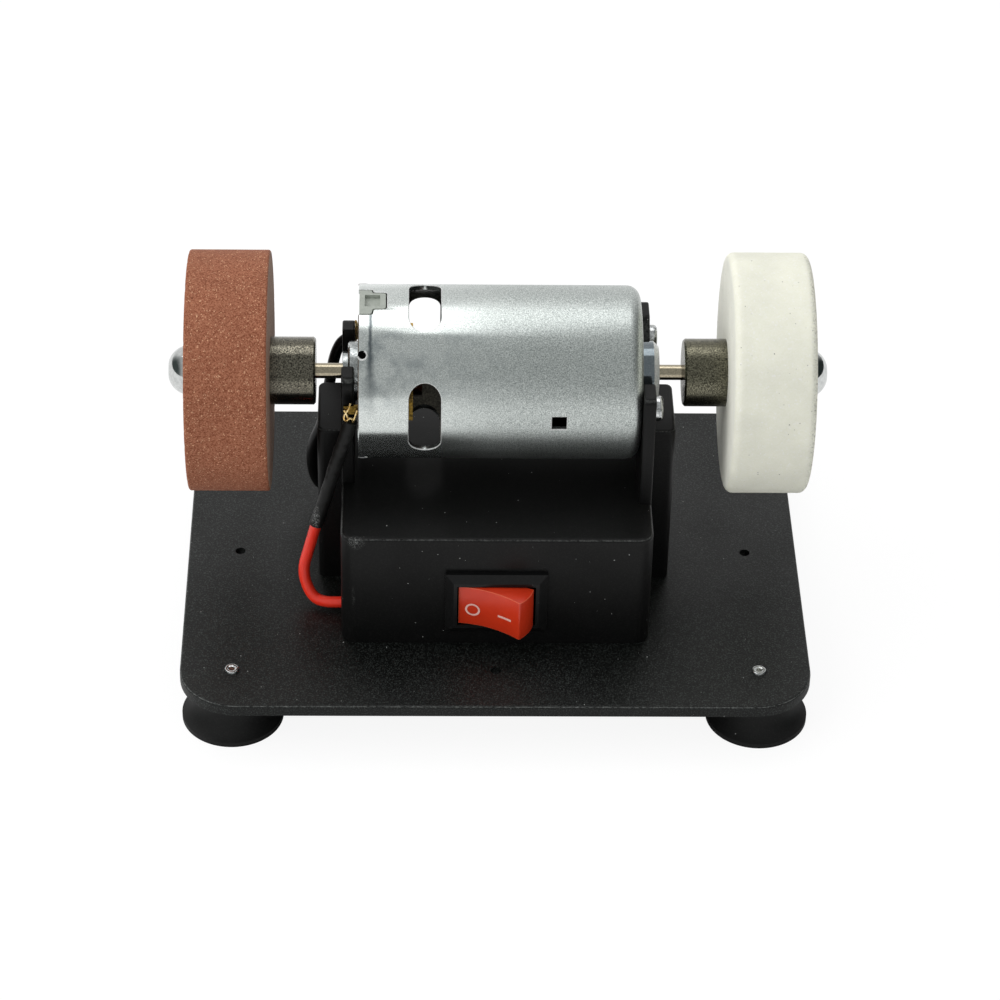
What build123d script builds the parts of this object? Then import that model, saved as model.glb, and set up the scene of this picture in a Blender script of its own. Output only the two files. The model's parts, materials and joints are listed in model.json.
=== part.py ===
"""Mini double-ended bench grinder on a plate with suction feet. Millimetres, +Z up.

The origin is on the table, under the middle of the part. X runs along the motor shaft, from
the brown wheel to the white one, and the rocker switch faces -Y.
"""
import os
from math import cos, hypot, radians, sin, sqrt, tan

from build123d import *

os.makedirs("parts", exist_ok=True)

# General clearances
overrun = 2.0
fixed_gap = 0.03
running_gap = 0.03
free_gap = 0.3

# Base plate
plate_width = 130.0
plate_depth = 100.8
plate_thickness = 2.5
plate_corner_radius = 12.0
plate_edge_round = 0.5
fixing_hole_inset = 11.0
fixing_hole_diameter = 2.2
front_hole_inset = 11.4

# Suction cups and their studs
cup_inset_x = 10.7
cup_inset_y = 11.4
cup_diameter = 21.0
cup_height = 9.4
cup_neck_diameter = 13.6
cup_neck_height = 2.6
cup_lip_height = 1.1
cup_rim_width = 1.3
cup_hollow_depth = 3.0
cup_flare_share = 1 / 3
stud_diameter = 2.9
stud_proud = 0.35
stud_flange_diameter = 7.0
stud_flange_thickness = 1.2
stud_flange_above_hollow = 1.8

# Housing
housing_depth = 60.4
housing_height = 27.3
housing_wall = 2.2
housing_corner_radius = 3.0
housing_edge_round = 0.8
boss_diameter = 6.0
boss_sink = 0.4
boss_height = 14.0

# Cheeks and posts of the housing
can_above_housing = 2.55
can_rear_gap = 0.9
cheek_thickness = 2.6
arm_rise = 5.8
left_arm_width = 4.85
left_arm_corner = 2.3
right_mouth_flare = 5.4
right_arm_width = 5.8
right_arm_corner = 1.5
cheek_edge_round = 0.4
post_below_shaft = 8.9
post_projection = 5.05
post_depth = 17.0
post_corner = 1.4
post_wall = 1.6
post_edge_round = 0.7

# Screws that hold the housing
housing_screw_diameter = 2.8
housing_screw_head_diameter = 5.6
housing_screw_length = 12.0
countersink_angle = 90.0

# Motor can
can_diameter = 35.8
can_length = 57.8
can_wall = 1.1
can_front_round = 2.8
can_rim_edge = 0.2
opening_edge_round = 0.2
boss_nose_diameter = 13.0
boss_nose_length = 3.9
vent_from_rear = 13.55
vent_width = 6.55
vent_span = 55.0
square_hole = 3.0
square_hole_from_front = 17.0
notch_wide_span = 28.5
notch_narrow_span = 19.0
notch_wide_length = 3.0
notch_length = 5.8
notch_corner_round = 0.6
stake_diameter = 1.9
stake_from_rear = 0.9
stake_angle = 46.0
motor_screw_spacing = 25.0
motor_screw_diameter = 2.95
motor_screw_head_diameter = 5.2
motor_screw_head_height = 1.7
motor_screw_head_round = 0.8
motor_screw_past_wall = 0.8
cross_width = 0.8
cross_length = 2.8
cross_depth = 0.8

# Magnets
magnet_thickness = 3.77
magnet_length = 33.0
magnet_from_front = 5.3
magnet_span = 124.0

# Rear end cap and bearings
cap_thickness = 3.6
cap_inset = 0.2
lug_below_surface = 0.15
lug_gap = 0.25
lug_pocket_from_end = 1.1
lug_pocket_length = 3.1
lug_pocket_width = 4.0
lug_pocket_depth = 0.9
holder_spigot_wall = 2.0
holder_disc_rim = 1.2
holder_disc_length = 2.4
holder_disc_edge = 0.4
holder_nose_wall = 1.0
holder_nose_length = 1.05
holder_lip = 0.5
bearing_diameter = 6.0
bearing_length = 5.4

# Brush gear
brush_from_cap = 4.6
brush_width = 4.2
brush_height = 3.6
brush_box_wall = 0.6
brush_box_from_commutator = 1.4
brush_spring_room = 2.1
terminal_from_can = 3.4
terminal_thickness = 0.6
terminal_height = 2.0
terminal_length = 3.15
spring_leaf = 0.25

# Shaft and armature
shaft_diameter = 3.175
shaft_engagement = 6.7
shaft_chamfer = 0.3
air_gap = 0.6
armature_length = 28.0
armature_from_front = 7.6
armature_slots = 5
slot_mouth_share = 0.19
slot_depth_share = 0.53
slot_root_share = 0.43
winding_overhang = 4.0
winding_share = 0.85
winding_hub_diameter = 8.0
commutator_diameter = 10.0
commutator_length = 8.0
commutator_from_cap = 1.2
commutator_groove = 0.5

# Wheels and arbors
wheel_diameter = 49.6
wheel_thickness = 16.6
wheel_bore = 10.0
brown_wheel_round = 0.5
white_wheel_round = 1.5
left_arbor_gap = 0.3
right_arbor_gap = 1.4
arbor_shoulder = 2.0
left_hub_length = 9.3
right_hub_length = 8.8
arbor_spigot_short = 1.0
arbor_edge = 0.4
grub_diameter = 3.0
grub_below_surface = 0.4
grub_socket = 1.5
grub_socket_depth = 1.8
wheel_washer_overlap = 0.8
wheel_washer_thickness = 0.9
wheel_screw_diameter = 5.0
wheel_screw_length = 11.0
wheel_screw_head_diameter = 10.0
wheel_screw_head_height = 3.4
wheel_screw_head_side = 0.3
wheel_screw_dome_flat = 4.0
wheel_screw_dome_across = 0.55
wheel_screw_dome_drop = 0.3
hex_socket = 3.0
hex_socket_depth = 1.8

# Rocker switch
bezel_above_plate = 4.0
bezel_width = 21.0
bezel_height = 15.0
bezel_thickness = 2.0
bezel_bevel_width = 1.7
bezel_bevel_depth = 1.0
bezel_frame = 2.45
bezel_lip = 1.05
switch_body_depth = 12.0
switch_floor = 1.4
cutout_gap = 0.1
rocker_edge_angle = 30.0
rocker_tilt = 24.0
rocker_hollow_angle = 9.0
rocker_below_pivot = 1.6
rocker_edge_round = 0.35
rocker_end_gap = 0.25
pivot_behind_bezel = 1.3
axle_diameter = 1.6
axle_length = 0.9
stem_diameter = 3.8
stem_length = 2.6
plunger_diameter = 2.4
plunger_reach = 5.9
plunger_length = 2.9
plunger_spring_wall = 0.5
contact_half_length = 5.2
contact_width = 4.0
contact_thickness = 0.5
contact_bead_radius = 0.35
contact_tilt = 8.0
contact_rest_gap = 0.15
switch_tab_width = 4.8
switch_tab_thickness = 0.8
switch_tab_length = 8.7
load_tab_offset = 5.2
load_tab_drop = 0.95

# Power inlet in the back
jack_above_plate = 13.1
jack_flange_rim = 1.3
jack_flange_thickness = 1.8
jack_wall = 1.1
jack_barrel_length = 13.0
jack_bore = 5.6
jack_bore_depth = 9.5
jack_pin_diameter = 2.0
jack_pin_recess = 1.2
jack_nut_rim = 1.1
jack_nut_thickness = 2.0
jack_lug_thickness = 0.6
jack_lug_width = 2.4
jack_lug_length = 4.5
ring_lug_from_end = 1.5
ring_lug_rim = 1.3
ring_lug_reach = 8.5

# Leads
lead_diameter = 2.4
sleeve_diameter = 2.9
lead_hole_diameter = 4.0
lead_hole_above_plate = 2.5
lead_hole_offset = 19.6
straight_end = 4.75
bend_share = 0.45

# Levels and stations that follow from the sizes above
plate_bottom = cup_height
plate_top = plate_bottom + plate_thickness
housing_top = plate_top + housing_height
housing_width = can_length + can_rear_gap + 2 * cheek_thickness
housing_front = -housing_depth / 2
housing_side = housing_width / 2
cheek_inner = housing_side - cheek_thickness
can_radius = can_diameter / 2
can_inner_radius = can_radius - can_wall
can_front = cheek_inner
can_rear = can_front - can_length
shaft_z = housing_top + can_above_housing + can_radius
shaft_radius = shaft_diameter / 2
shaft_axis = Axis((0, 0, shaft_z), (1, 0, 0))
arm_top = shaft_z + arm_rise
post_height = shaft_z - post_below_shaft - plate_top
post_outer = housing_side + post_projection
cap_outer_face = can_rear + cap_inset
cap_inner_face = cap_outer_face + cap_thickness
holder_spigot_diameter = bearing_diameter + 2 * holder_spigot_wall
holder_disc_diameter = holder_spigot_diameter + 2 * holder_disc_rim
holder_nose_diameter = bearing_diameter + 2 * holder_nose_wall
lug_root = can_inner_radius - can_wall
brush_x = cap_inner_face + brush_from_cap
terminal_offset = can_inner_radius - terminal_from_can
switch_z = plate_top + bezel_above_plate + bezel_height / 2
switch_body_width = bezel_width - 2 * bezel_lip
switch_body_height = bezel_height - 2 * bezel_lip
jack_z = plate_top + jack_above_plate
jack_barrel_diameter = jack_bore + 2 * jack_wall
lead_hole_z = plate_top + lead_hole_above_plate
boss_spacing_x = housing_width - 2 * housing_wall + 2 * boss_sink - boss_diameter
boss_spacing_y = housing_depth - 2 * housing_wall + 2 * boss_sink - boss_diameter
cup_spacing_x = plate_width - 2 * cup_inset_x
cup_spacing_y = plate_depth - 2 * cup_inset_y
sides = {"left": -1, "right": 1}


def cross_plane(x):
    """Plane square to the shaft at x, with local x along Y and local y along Z."""
    return Plane(origin=(x, 0, shaft_z), x_dir=(0, 1, 0), z_dir=(1, 0, 0))


def radial_plane(angle):
    """Plane through the shaft's axis, with local y outwards at an angle up from the front."""
    turn = radians(angle)
    return Plane(origin=(0, 0, shaft_z), x_dir=(1, 0, 0), z_dir=(0, -sin(turn), -cos(turn)))


def lead_path(points):
    """Straight runs joined by arcs that are as large as the runs allow."""
    places = [Vector(point) for point in points]
    runs = [end - start for start, end in zip(places, places[1:])]
    radii = []
    for before, after in zip(runs, runs[1:]):
        shorter = min(before.length, after.length)
        turn = radians(before.get_angle(after))
        radii.append(bend_share * shorter / tan(turn / 2))
    return places, radii


# The base plate: black pebbled sheet, with small fixing holes at its sides and front.
housing_screw_places = [
    (x * boss_spacing_x / 2, y * boss_spacing_y / 2) for x in (-1, 1) for y in (-1, 1)
]
with BuildPart() as base_plate:
    with BuildSketch(Plane.XY.offset(plate_bottom)):
        RectangleRounded(plate_width, plate_depth, plate_corner_radius)
    extrude(amount=plate_thickness)
    fillet(base_plate.faces().sort_by(Axis.Z)[-1].edges(), plate_edge_round)
    with Locations((0, 0, plate_top)):
        with GridLocations(plate_width - 2 * fixing_hole_inset, 0, 2, 1):
            Hole(fixing_hole_diameter / 2)
        with GridLocations(cup_spacing_x, cup_spacing_y, 2, 2):
            Hole(stud_diameter / 2 + fixed_gap)
    with Locations((0, front_hole_inset - plate_depth / 2, plate_top)):
        Hole(fixing_hole_diameter / 2)
    with Locations(*[Location((x, y, plate_bottom), (180, 0, 0)) for x, y in housing_screw_places]):
        CounterSinkHole(
            housing_screw_diameter / 2 + fixed_gap,
            housing_screw_head_diameter / 2 + fixed_gap,
            counter_sink_angle=countersink_angle,
        )
base_plate.part.label = "base_plate"
export_step(base_plate.part, "parts/base_plate.step")

# The suction cups: rubber, hollow below, moulded round the flange of a threaded stud.
flange_bottom = cup_hollow_depth + stud_flange_above_hollow
flange_top = flange_bottom + stud_flange_thickness
cup_radius = cup_diameter / 2
neck_radius = cup_neck_diameter / 2
flare_top = plate_bottom - cup_neck_height
flare_bulge_x = neck_radius + (cup_radius - neck_radius) * cup_flare_share
flare_bulge_z = cup_lip_height + (flare_top - cup_lip_height) * cup_flare_share
for depth_name, y_sign in (("front", -1), ("rear", 1)):
    for side_name, x_sign in sides.items():
        cup_x = x_sign * cup_spacing_x / 2
        cup_y = y_sign * cup_spacing_y / 2
        cup_plane = Plane(origin=(cup_x, cup_y, 0), x_dir=(1, 0, 0), z_dir=(0, -1, 0))
        with BuildPart() as suction_cup:
            with BuildSketch(cup_plane):
                with BuildLine():
                    Line((0, cup_hollow_depth), (0, flange_bottom))
                    Polyline(
                        (0, flange_bottom),
                        (stud_flange_diameter / 2, flange_bottom),
                        (stud_flange_diameter / 2, flange_top),
                        (stud_diameter / 2, flange_top),
                        (stud_diameter / 2, plate_bottom),
                        (neck_radius, plate_bottom),
                        (neck_radius, flare_top),
                    )
                    ThreePointArc(
                        (neck_radius, flare_top),
                        (flare_bulge_x, flare_bulge_z),
                        (cup_radius, cup_lip_height),
                    )
                    Polyline(
                        (cup_radius, cup_lip_height), (cup_radius, 0), (cup_radius - cup_rim_width, 0),
                    )
                    TangentArc(
                        (0, cup_hollow_depth), (cup_radius - cup_rim_width, 0),
                        tangent=(1, 0), tangent_from_first=True,
                    )
                make_face()
            revolve(axis=Axis((cup_x, cup_y, 0), (0, 0, 1)))
        cup_name = f"suction_cup_{depth_name}_{side_name}"
        suction_cup.part.label = cup_name
        export_step(suction_cup.part, f"parts/{cup_name}.step")

with BuildPart() as suction_cup_studs:
    with Locations((0, 0, flange_bottom)):
        with GridLocations(cup_spacing_x, cup_spacing_y, 2, 2):
            Cylinder(
                stud_flange_diameter / 2, stud_flange_thickness,
                align=(Align.CENTER, Align.CENTER, Align.MIN),
            )
            Cylinder(
                stud_diameter / 2, plate_top + stud_proud - flange_bottom,
                align=(Align.CENTER, Align.CENTER, Align.MIN),
            )
suction_cup_studs.part.label = "suction_cup_studs"
export_step(suction_cup_studs.part, "parts/suction_cup_studs.step")

# The housing: one black moulding, open below, with a cheek at each end of the motor.
boss_nose_radius = boss_nose_diameter / 2
right_slot = boss_nose_radius + free_gap
right_mouth_half = right_slot + right_mouth_flare
right_arm_reach = right_mouth_half + right_arm_width
left_slot = holder_disc_diameter / 2 + free_gap
left_arm_reach = left_slot + left_arm_width
cheek_foot = housing_top - housing_wall
# cheeks: the left one holds the rear bearing holder, the right one the nose of the can
cheek_shapes = [
    (-housing_side, left_slot, left_slot, left_arm_reach, left_arm_corner),
    (cheek_inner, right_slot, right_mouth_half, right_arm_reach, right_arm_corner),
]
cheeks = []
for start, slot, mouth, reach, corner in cheek_shapes:
    with BuildPart() as cheek:
        with BuildSketch(Plane.YZ.offset(start)):
            with BuildLine():
                Polyline((-slot, shaft_z), (-mouth, arm_top), (-reach + corner, arm_top))
                RadiusArc((-reach + corner, arm_top), (-reach, arm_top - corner), -corner)
                Polyline(
                    (-reach, arm_top - corner), (-reach, cheek_foot),
                    (reach, cheek_foot), (reach, arm_top - corner),
                )
                RadiusArc((reach, arm_top - corner), (reach - corner, arm_top), -corner)
                Polyline((reach - corner, arm_top), (mouth, arm_top), (slot, shaft_z))
                ThreePointArc((slot, shaft_z), (0, shaft_z - slot), (-slot, shaft_z))
            make_face()
        extrude(amount=cheek_thickness)
        outline = cheek.faces().filter_by(Axis.X).edges()
        fillet(
            outline.filter_by(lambda edge: edge.center().Z > cheek_foot + cheek_edge_round),
            cheek_edge_round,
        )
    cheeks.append(cheek.part)

with BuildPart() as motor_housing:
    with BuildSketch(Plane.XY.offset(plate_top)):
        RectangleRounded(housing_width, housing_depth, housing_corner_radius)
    extrude(amount=housing_height)
    fillet(motor_housing.faces().sort_by(Axis.Z)[-1].edges(), housing_edge_round)
    # posts outside the cheeks
    with BuildSketch(Plane.XY.offset(plate_top)):
        for sign in sides.values():
            with Locations((sign * post_outer, 0)):
                post_align = Align.MAX if sign > 0 else Align.MIN
                Rectangle(post_projection + housing_wall, post_depth, align=(post_align, Align.CENTER))
    extrude(amount=post_height)
    fillet(
        motor_housing.edges().filter_by(Axis.Z).filter_by(
            lambda edge: abs(edge.center().X) > housing_side + post_projection / 2
        ),
        post_corner,
    )
    fillet(
        motor_housing.faces().filter_by(Axis.Z).group_by(Axis.Z)[-1].edges().filter_by(
            lambda edge: abs(edge.center().X) > housing_side
        ),
        post_edge_round,
    )
    for cheek in cheeks:
        add(cheek)
    # hollow of the box and of the posts, open below
    with BuildSketch(Plane.XY.offset(plate_top)):
        RectangleRounded(
            housing_width - 2 * housing_wall, housing_depth - 2 * housing_wall,
            housing_corner_radius - housing_wall / 2,
        )
    extrude(amount=housing_height - housing_wall, mode=Mode.SUBTRACT)
    with BuildSketch(Plane.XY.offset(plate_top)):
        for sign in sides.values():
            with Locations((sign * housing_side, 0)):
                core_align = Align.MIN if sign > 0 else Align.MAX
                Rectangle(
                    post_projection - post_wall, post_depth - 2 * post_wall,
                    align=(core_align, Align.CENTER),
                )
    extrude(amount=post_height - post_wall, mode=Mode.SUBTRACT)
    # screw bosses in the corners
    with BuildSketch(Plane.XY.offset(plate_top)):
        with Locations(*housing_screw_places):
            Circle(boss_diameter / 2)
    extrude(amount=boss_height)
    with BuildSketch(Plane.XY.offset(plate_top)):
        with Locations(*housing_screw_places):
            Circle(housing_screw_diameter / 2 + fixed_gap)
    extrude(amount=housing_screw_length, mode=Mode.SUBTRACT)
    # openings for the switch, the inlet, the leads and the motor screws
    with BuildSketch(Plane(origin=(0, housing_front, switch_z), x_dir=(1, 0, 0), z_dir=(0, 1, 0))):
        Rectangle(switch_body_width + 2 * cutout_gap, switch_body_height + 2 * cutout_gap)
    extrude(amount=housing_wall, mode=Mode.SUBTRACT)
    with BuildSketch(Plane(origin=(0, -housing_front, jack_z), x_dir=(1, 0, 0), z_dir=(0, -1, 0))):
        Circle(jack_barrel_diameter / 2 + cutout_gap)
    extrude(amount=housing_wall, mode=Mode.SUBTRACT)
    with BuildSketch(Plane.YZ.offset(-housing_side)):
        with Locations((-lead_hole_offset, lead_hole_z), (lead_hole_offset, lead_hole_z)):
            Circle(lead_hole_diameter / 2)
    extrude(amount=housing_wall, mode=Mode.SUBTRACT)
    with BuildSketch(cross_plane(cheek_inner)):
        with GridLocations(motor_screw_spacing, 0, 2, 1):
            Circle(motor_screw_diameter / 2 + cutout_gap)
    extrude(amount=cheek_thickness, mode=Mode.SUBTRACT)
motor_housing.part.label = "motor_housing"
export_step(motor_housing.part, "parts/motor_housing.step")

# Four countersunk screws from below hold the housing to the plate.
head_overhang = (housing_screw_head_diameter - housing_screw_diameter) / 2
head_cone = head_overhang / tan(radians(countersink_angle / 2))
with BuildPart() as housing_screws:
    with Locations(*[(x, y, plate_bottom) for x, y in housing_screw_places]):
        Cone(
            housing_screw_head_diameter / 2, housing_screw_diameter / 2, head_cone,
            align=(Align.CENTER, Align.CENTER, Align.MIN),
        )
        Cylinder(
            housing_screw_diameter / 2, housing_screw_length,
            align=(Align.CENTER, Align.CENTER, Align.MIN),
        )
        Box(
            cross_length, cross_width, cross_depth,
            align=(Align.CENTER, Align.CENTER, Align.MIN), mode=Mode.SUBTRACT,
        )
        Box(
            cross_width, cross_length, cross_depth,
            align=(Align.CENTER, Align.CENTER, Align.MIN), mode=Mode.SUBTRACT,
        )
housing_screws.part.label = "housing_screws"
export_step(housing_screws.part, "parts/housing_screws.step")

def on_outer_wall(edge):
    """True for an edge that lies nearer to the outside of the can's wall than to its inside."""
    middle = edge.center()
    return hypot(middle.Y, middle.Z - shaft_z) > can_radius - can_wall / 2


def on_cut_edge(edge):
    """True for an edge of the outer wall that lies clear of the rear rim."""
    return on_outer_wall(edge) and edge.center().X > can_rear + can_rim_edge


def notch_outline(start, gap):
    """Stepped outline of a notch of the can from start inwards, drawn in by a gap all round."""
    with BuildSketch(Plane.XY.offset(shaft_z)) as outline:
        for span, length in ((notch_wide_span, notch_wide_length), (notch_narrow_span, notch_length)):
            half_width = can_radius * sin(radians(span / 2)) - gap
            with Locations((start, 0)):
                Rectangle(
                    can_rear + length - gap - start, 2 * half_width, align=(Align.MIN, Align.CENTER),
                )
        fillet(outline.vertices().group_by(Axis.X)[1:], notch_corner_round)
    return outline.sketch


# The motor can: drawn zinc-plated steel, closed at the front round the bearing nose.
nose_end = can_front + boss_nose_length
bearing_radius = bearing_diameter / 2
vent_x = can_rear + vent_from_rear
with BuildPart() as motor_can:
    with BuildSketch(radial_plane(90)):
        with BuildLine():
            Polyline(
                (can_rear, can_inner_radius), (can_rear, can_radius - can_rim_edge),
                (can_rear + can_rim_edge, can_radius), (can_front - can_front_round, can_radius),
            )
            RadiusArc(
                (can_front - can_front_round, can_radius),
                (can_front, can_radius - can_front_round), can_front_round,
            )
            Polyline(
                (can_front, can_radius - can_front_round), (can_front, boss_nose_radius),
                (nose_end - can_wall, boss_nose_radius), (nose_end, boss_nose_radius - can_wall),
                (nose_end, bearing_radius + fixed_gap),
                (can_front - can_wall, bearing_radius + fixed_gap),
                (can_front - can_wall, can_inner_radius), (can_rear, can_inner_radius),
            )
        make_face()
    revolve(axis=shaft_axis)
    # vent slots at the front, top, back and bottom
    for angle in (0, 90, 180, 270):
        turn = radians(angle)
        vent_plane = Plane(
            origin=(vent_x, 0, shaft_z), x_dir=(1, 0, 0), z_dir=(0, -cos(turn), sin(turn)),
        )
        with BuildSketch(vent_plane):
            SlotOverall(2 * can_radius * sin(radians(vent_span / 2)), vent_width, rotation=90)
        extrude(amount=can_radius + overrun, mode=Mode.SUBTRACT)
        fillet(motor_can.edges(Select.LAST).filter_by(on_outer_wall), opening_edge_round)
    # square hole in the front
    with BuildSketch(Plane(
        origin=(can_front - square_hole_from_front, 0, shaft_z), x_dir=(1, 0, 0), z_dir=(0, -1, 0),
    )):
        Rectangle(square_hole, square_hole)
    extrude(amount=can_radius + overrun, mode=Mode.SUBTRACT)
    fillet(motor_can.edges(Select.LAST).filter_by(on_outer_wall), opening_edge_round)
    # stepped notches for the lugs of the end cap, at the top and the bottom
    for side in (1, -1):
        notch = notch_outline(can_rear - overrun, 0)
        extrude(notch, amount=side * (can_radius + overrun), mode=Mode.SUBTRACT)
        fillet(motor_can.edges(Select.LAST).filter_by(on_cut_edge), opening_edge_round)
    # stakes that lock the end cap
    for angle in (stake_angle, 180 - stake_angle, 180 + stake_angle, -stake_angle):
        turn = radians(angle)
        stake_plane = Plane(
            origin=(can_rear + stake_from_rear, 0, shaft_z), x_dir=(1, 0, 0),
            z_dir=(0, -cos(turn), sin(turn)),
        )
        with BuildSketch(stake_plane):
            Circle(stake_diameter / 2)
        extrude(amount=can_radius + overrun, mode=Mode.SUBTRACT)
    # tapped holes for the motor screws
    with BuildSketch(cross_plane(can_front)):
        with GridLocations(motor_screw_spacing, 0, 2, 1):
            Circle(motor_screw_diameter / 2 + fixed_gap)
    extrude(amount=-can_wall, mode=Mode.SUBTRACT)
motor_can.part.label = "motor_can"
export_step(motor_can.part, "parts/motor_can.step")

# Two ferrite magnets, curved to the can.
magnet_front = can_front - magnet_from_front
magnet_inner_radius = can_inner_radius - fixed_gap - magnet_thickness
for magnet_name, angle in (("upper_magnet", 90), ("lower_magnet", 270)):
    with BuildPart() as magnet:
        with BuildSketch(radial_plane(angle + magnet_span / 2)):
            with Locations((magnet_front, magnet_inner_radius)):
                Rectangle(magnet_length, magnet_thickness, align=(Align.MAX, Align.MIN))
        revolve(axis=shaft_axis, revolution_arc=magnet_span)
    magnet.part.label = magnet_name
    export_step(magnet.part, f"parts/{magnet_name}.step")

# The rear end cap: pale moulded plastic, with pocketed lugs that fill the notches of the can.
lug_radius = can_radius - lug_below_surface
with BuildPart() as cap_lugs:
    for side in (1, -1):
        extrude(notch_outline(cap_outer_face, lug_gap), amount=side * can_radius)
    with BuildSketch(cross_plane(cap_outer_face)):
        Circle(lug_radius)
        Circle(lug_root, mode=Mode.SUBTRACT)
    extrude(amount=notch_length, mode=Mode.INTERSECT)
    for side in (1, -1):
        with BuildSketch(Plane.XY.offset(shaft_z + side * (lug_radius - lug_pocket_depth))):
            with Locations((cap_outer_face + lug_pocket_from_end, 0)):
                Rectangle(lug_pocket_length, lug_pocket_width, align=(Align.MIN, Align.CENTER))
        extrude(amount=side * (lug_pocket_depth + overrun), mode=Mode.SUBTRACT)

with BuildPart() as end_cap:
    with BuildSketch(cross_plane(cap_outer_face)):
        Circle(can_inner_radius - fixed_gap)
        Circle(holder_spigot_diameter / 2 + fixed_gap, mode=Mode.SUBTRACT)
    extrude(amount=cap_thickness)
    add(cap_lugs.part)
    with BuildSketch(cross_plane(cap_outer_face)):
        with GridLocations(2 * terminal_offset, 0, 2, 1):
            Rectangle(terminal_thickness + 2 * fixed_gap, terminal_height + 2 * fixed_gap)
    extrude(amount=cap_thickness, mode=Mode.SUBTRACT)
end_cap.part.label = "end_cap"
export_step(end_cap.part, "parts/end_cap.step")

# The rear bearing holder: a turned steel cup that sits in the slot of the left cheek.
disc_end = cap_outer_face - holder_disc_length
holder_end = disc_end - holder_nose_length
with BuildPart() as rear_bearing_holder:
    with BuildSketch(radial_plane(90)):
        with BuildLine():
            Polyline(
                (cap_inner_face, bearing_radius + fixed_gap),
                (cap_inner_face, holder_spigot_diameter / 2),
                (cap_outer_face, holder_spigot_diameter / 2),
                (cap_outer_face, holder_disc_diameter / 2),
                (disc_end + holder_disc_edge, holder_disc_diameter / 2),
                (disc_end, holder_disc_diameter / 2 - holder_disc_edge),
                (disc_end, holder_nose_diameter / 2),
                (holder_end, holder_nose_diameter / 2),
                (holder_end, shaft_radius + free_gap),
                (holder_end + holder_lip, shaft_radius + free_gap),
                (holder_end + holder_lip, bearing_radius + fixed_gap),
                close=True,
            )
        make_face()
    revolve(axis=shaft_axis)
rear_bearing_holder.part.label = "rear_bearing_holder"
export_step(rear_bearing_holder.part, "parts/rear_bearing_holder.step")

# Bronze bearings at both ends.
bearing_starts = {
    "rear_bearing": holder_end + holder_lip,
    "front_bearing": nose_end - bearing_length,
}
for bearing_name, start in bearing_starts.items():
    with BuildPart() as bearing:
        with BuildSketch(cross_plane(start)):
            Circle(bearing_radius)
            Circle(shaft_radius + running_gap, mode=Mode.SUBTRACT)
        extrude(amount=bearing_length)
    bearing.part.label = bearing_name
    export_step(bearing.part, f"parts/{bearing_name}.step")

# Brush gear: a brass box with a solder tab, a carbon brush and its leaf spring, on both sides.
commutator_radius = commutator_diameter / 2
brush_tip = commutator_radius + free_gap
brush_box_start = commutator_radius + brush_box_from_commutator
box_width = brush_width + 2 * (fixed_gap + brush_box_wall)
box_height = brush_height + 2 * (fixed_gap + brush_box_wall)
tab_inside = terminal_offset - terminal_thickness / 2
brush_back = tab_inside - brush_spring_room
tab_end = cap_outer_face - terminal_length
for depth_name, sign in (("front", -1), ("rear", 1)):
    near = Align.MAX if sign < 0 else Align.MIN
    with BuildPart() as brush_terminal:
        with Locations((brush_x, sign * brush_box_start, shaft_z)):
            Box(
                box_width, tab_inside + terminal_thickness - brush_box_start, box_height,
                align=(Align.CENTER, near, Align.CENTER),
            )
            Box(
                brush_width + 2 * fixed_gap, tab_inside - brush_box_start, brush_height + 2 * fixed_gap,
                align=(Align.CENTER, near, Align.CENTER), mode=Mode.SUBTRACT,
            )
        with Locations((tab_end, sign * terminal_offset, shaft_z)):
            Box(
                brush_x - tab_end, terminal_thickness, terminal_height,
                align=(Align.MIN, Align.CENTER, Align.CENTER),
            )
    brush_terminal.part.label = f"brush_terminal_{depth_name}"
    export_step(brush_terminal.part, f"parts/brush_terminal_{depth_name}.step")

    with BuildPart() as carbon_brush:
        with Locations((brush_x, 0, shaft_z)):
            Box(
                brush_width, brush_back, brush_height, align=(Align.CENTER, near, Align.CENTER),
            )
        with BuildSketch(cross_plane(brush_x - brush_width)):
            Circle(brush_tip)
        extrude(amount=2 * brush_width, mode=Mode.SUBTRACT)
    carbon_brush.part.label = f"carbon_brush_{depth_name}"
    export_step(carbon_brush.part, f"parts/carbon_brush_{depth_name}.step")

with BuildPart() as brush_springs:
    with BuildSketch(Plane.XY.offset(shaft_z)):
        for sign in (-1, 1):
            foot = sign * (tab_inside - fixed_gap)
            crown = sign * (brush_back + fixed_gap)
            half = brush_width / 2 - spring_leaf
            with BuildLine():
                ThreePointArc((brush_x - half, foot), (brush_x, crown), (brush_x + half, foot))
                Line((brush_x + half, foot), (brush_x + half - spring_leaf, foot))
                ThreePointArc(
                    (brush_x + half - spring_leaf, foot), (brush_x, crown + sign * spring_leaf),
                    (brush_x - half + spring_leaf, foot),
                )
                Line((brush_x - half + spring_leaf, foot), (brush_x - half, foot))
            make_face()
    extrude(amount=brush_height / 2 - brush_box_wall, both=True)
brush_springs.part.label = "brush_springs"
export_step(brush_springs.part, "parts/brush_springs.step")

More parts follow.
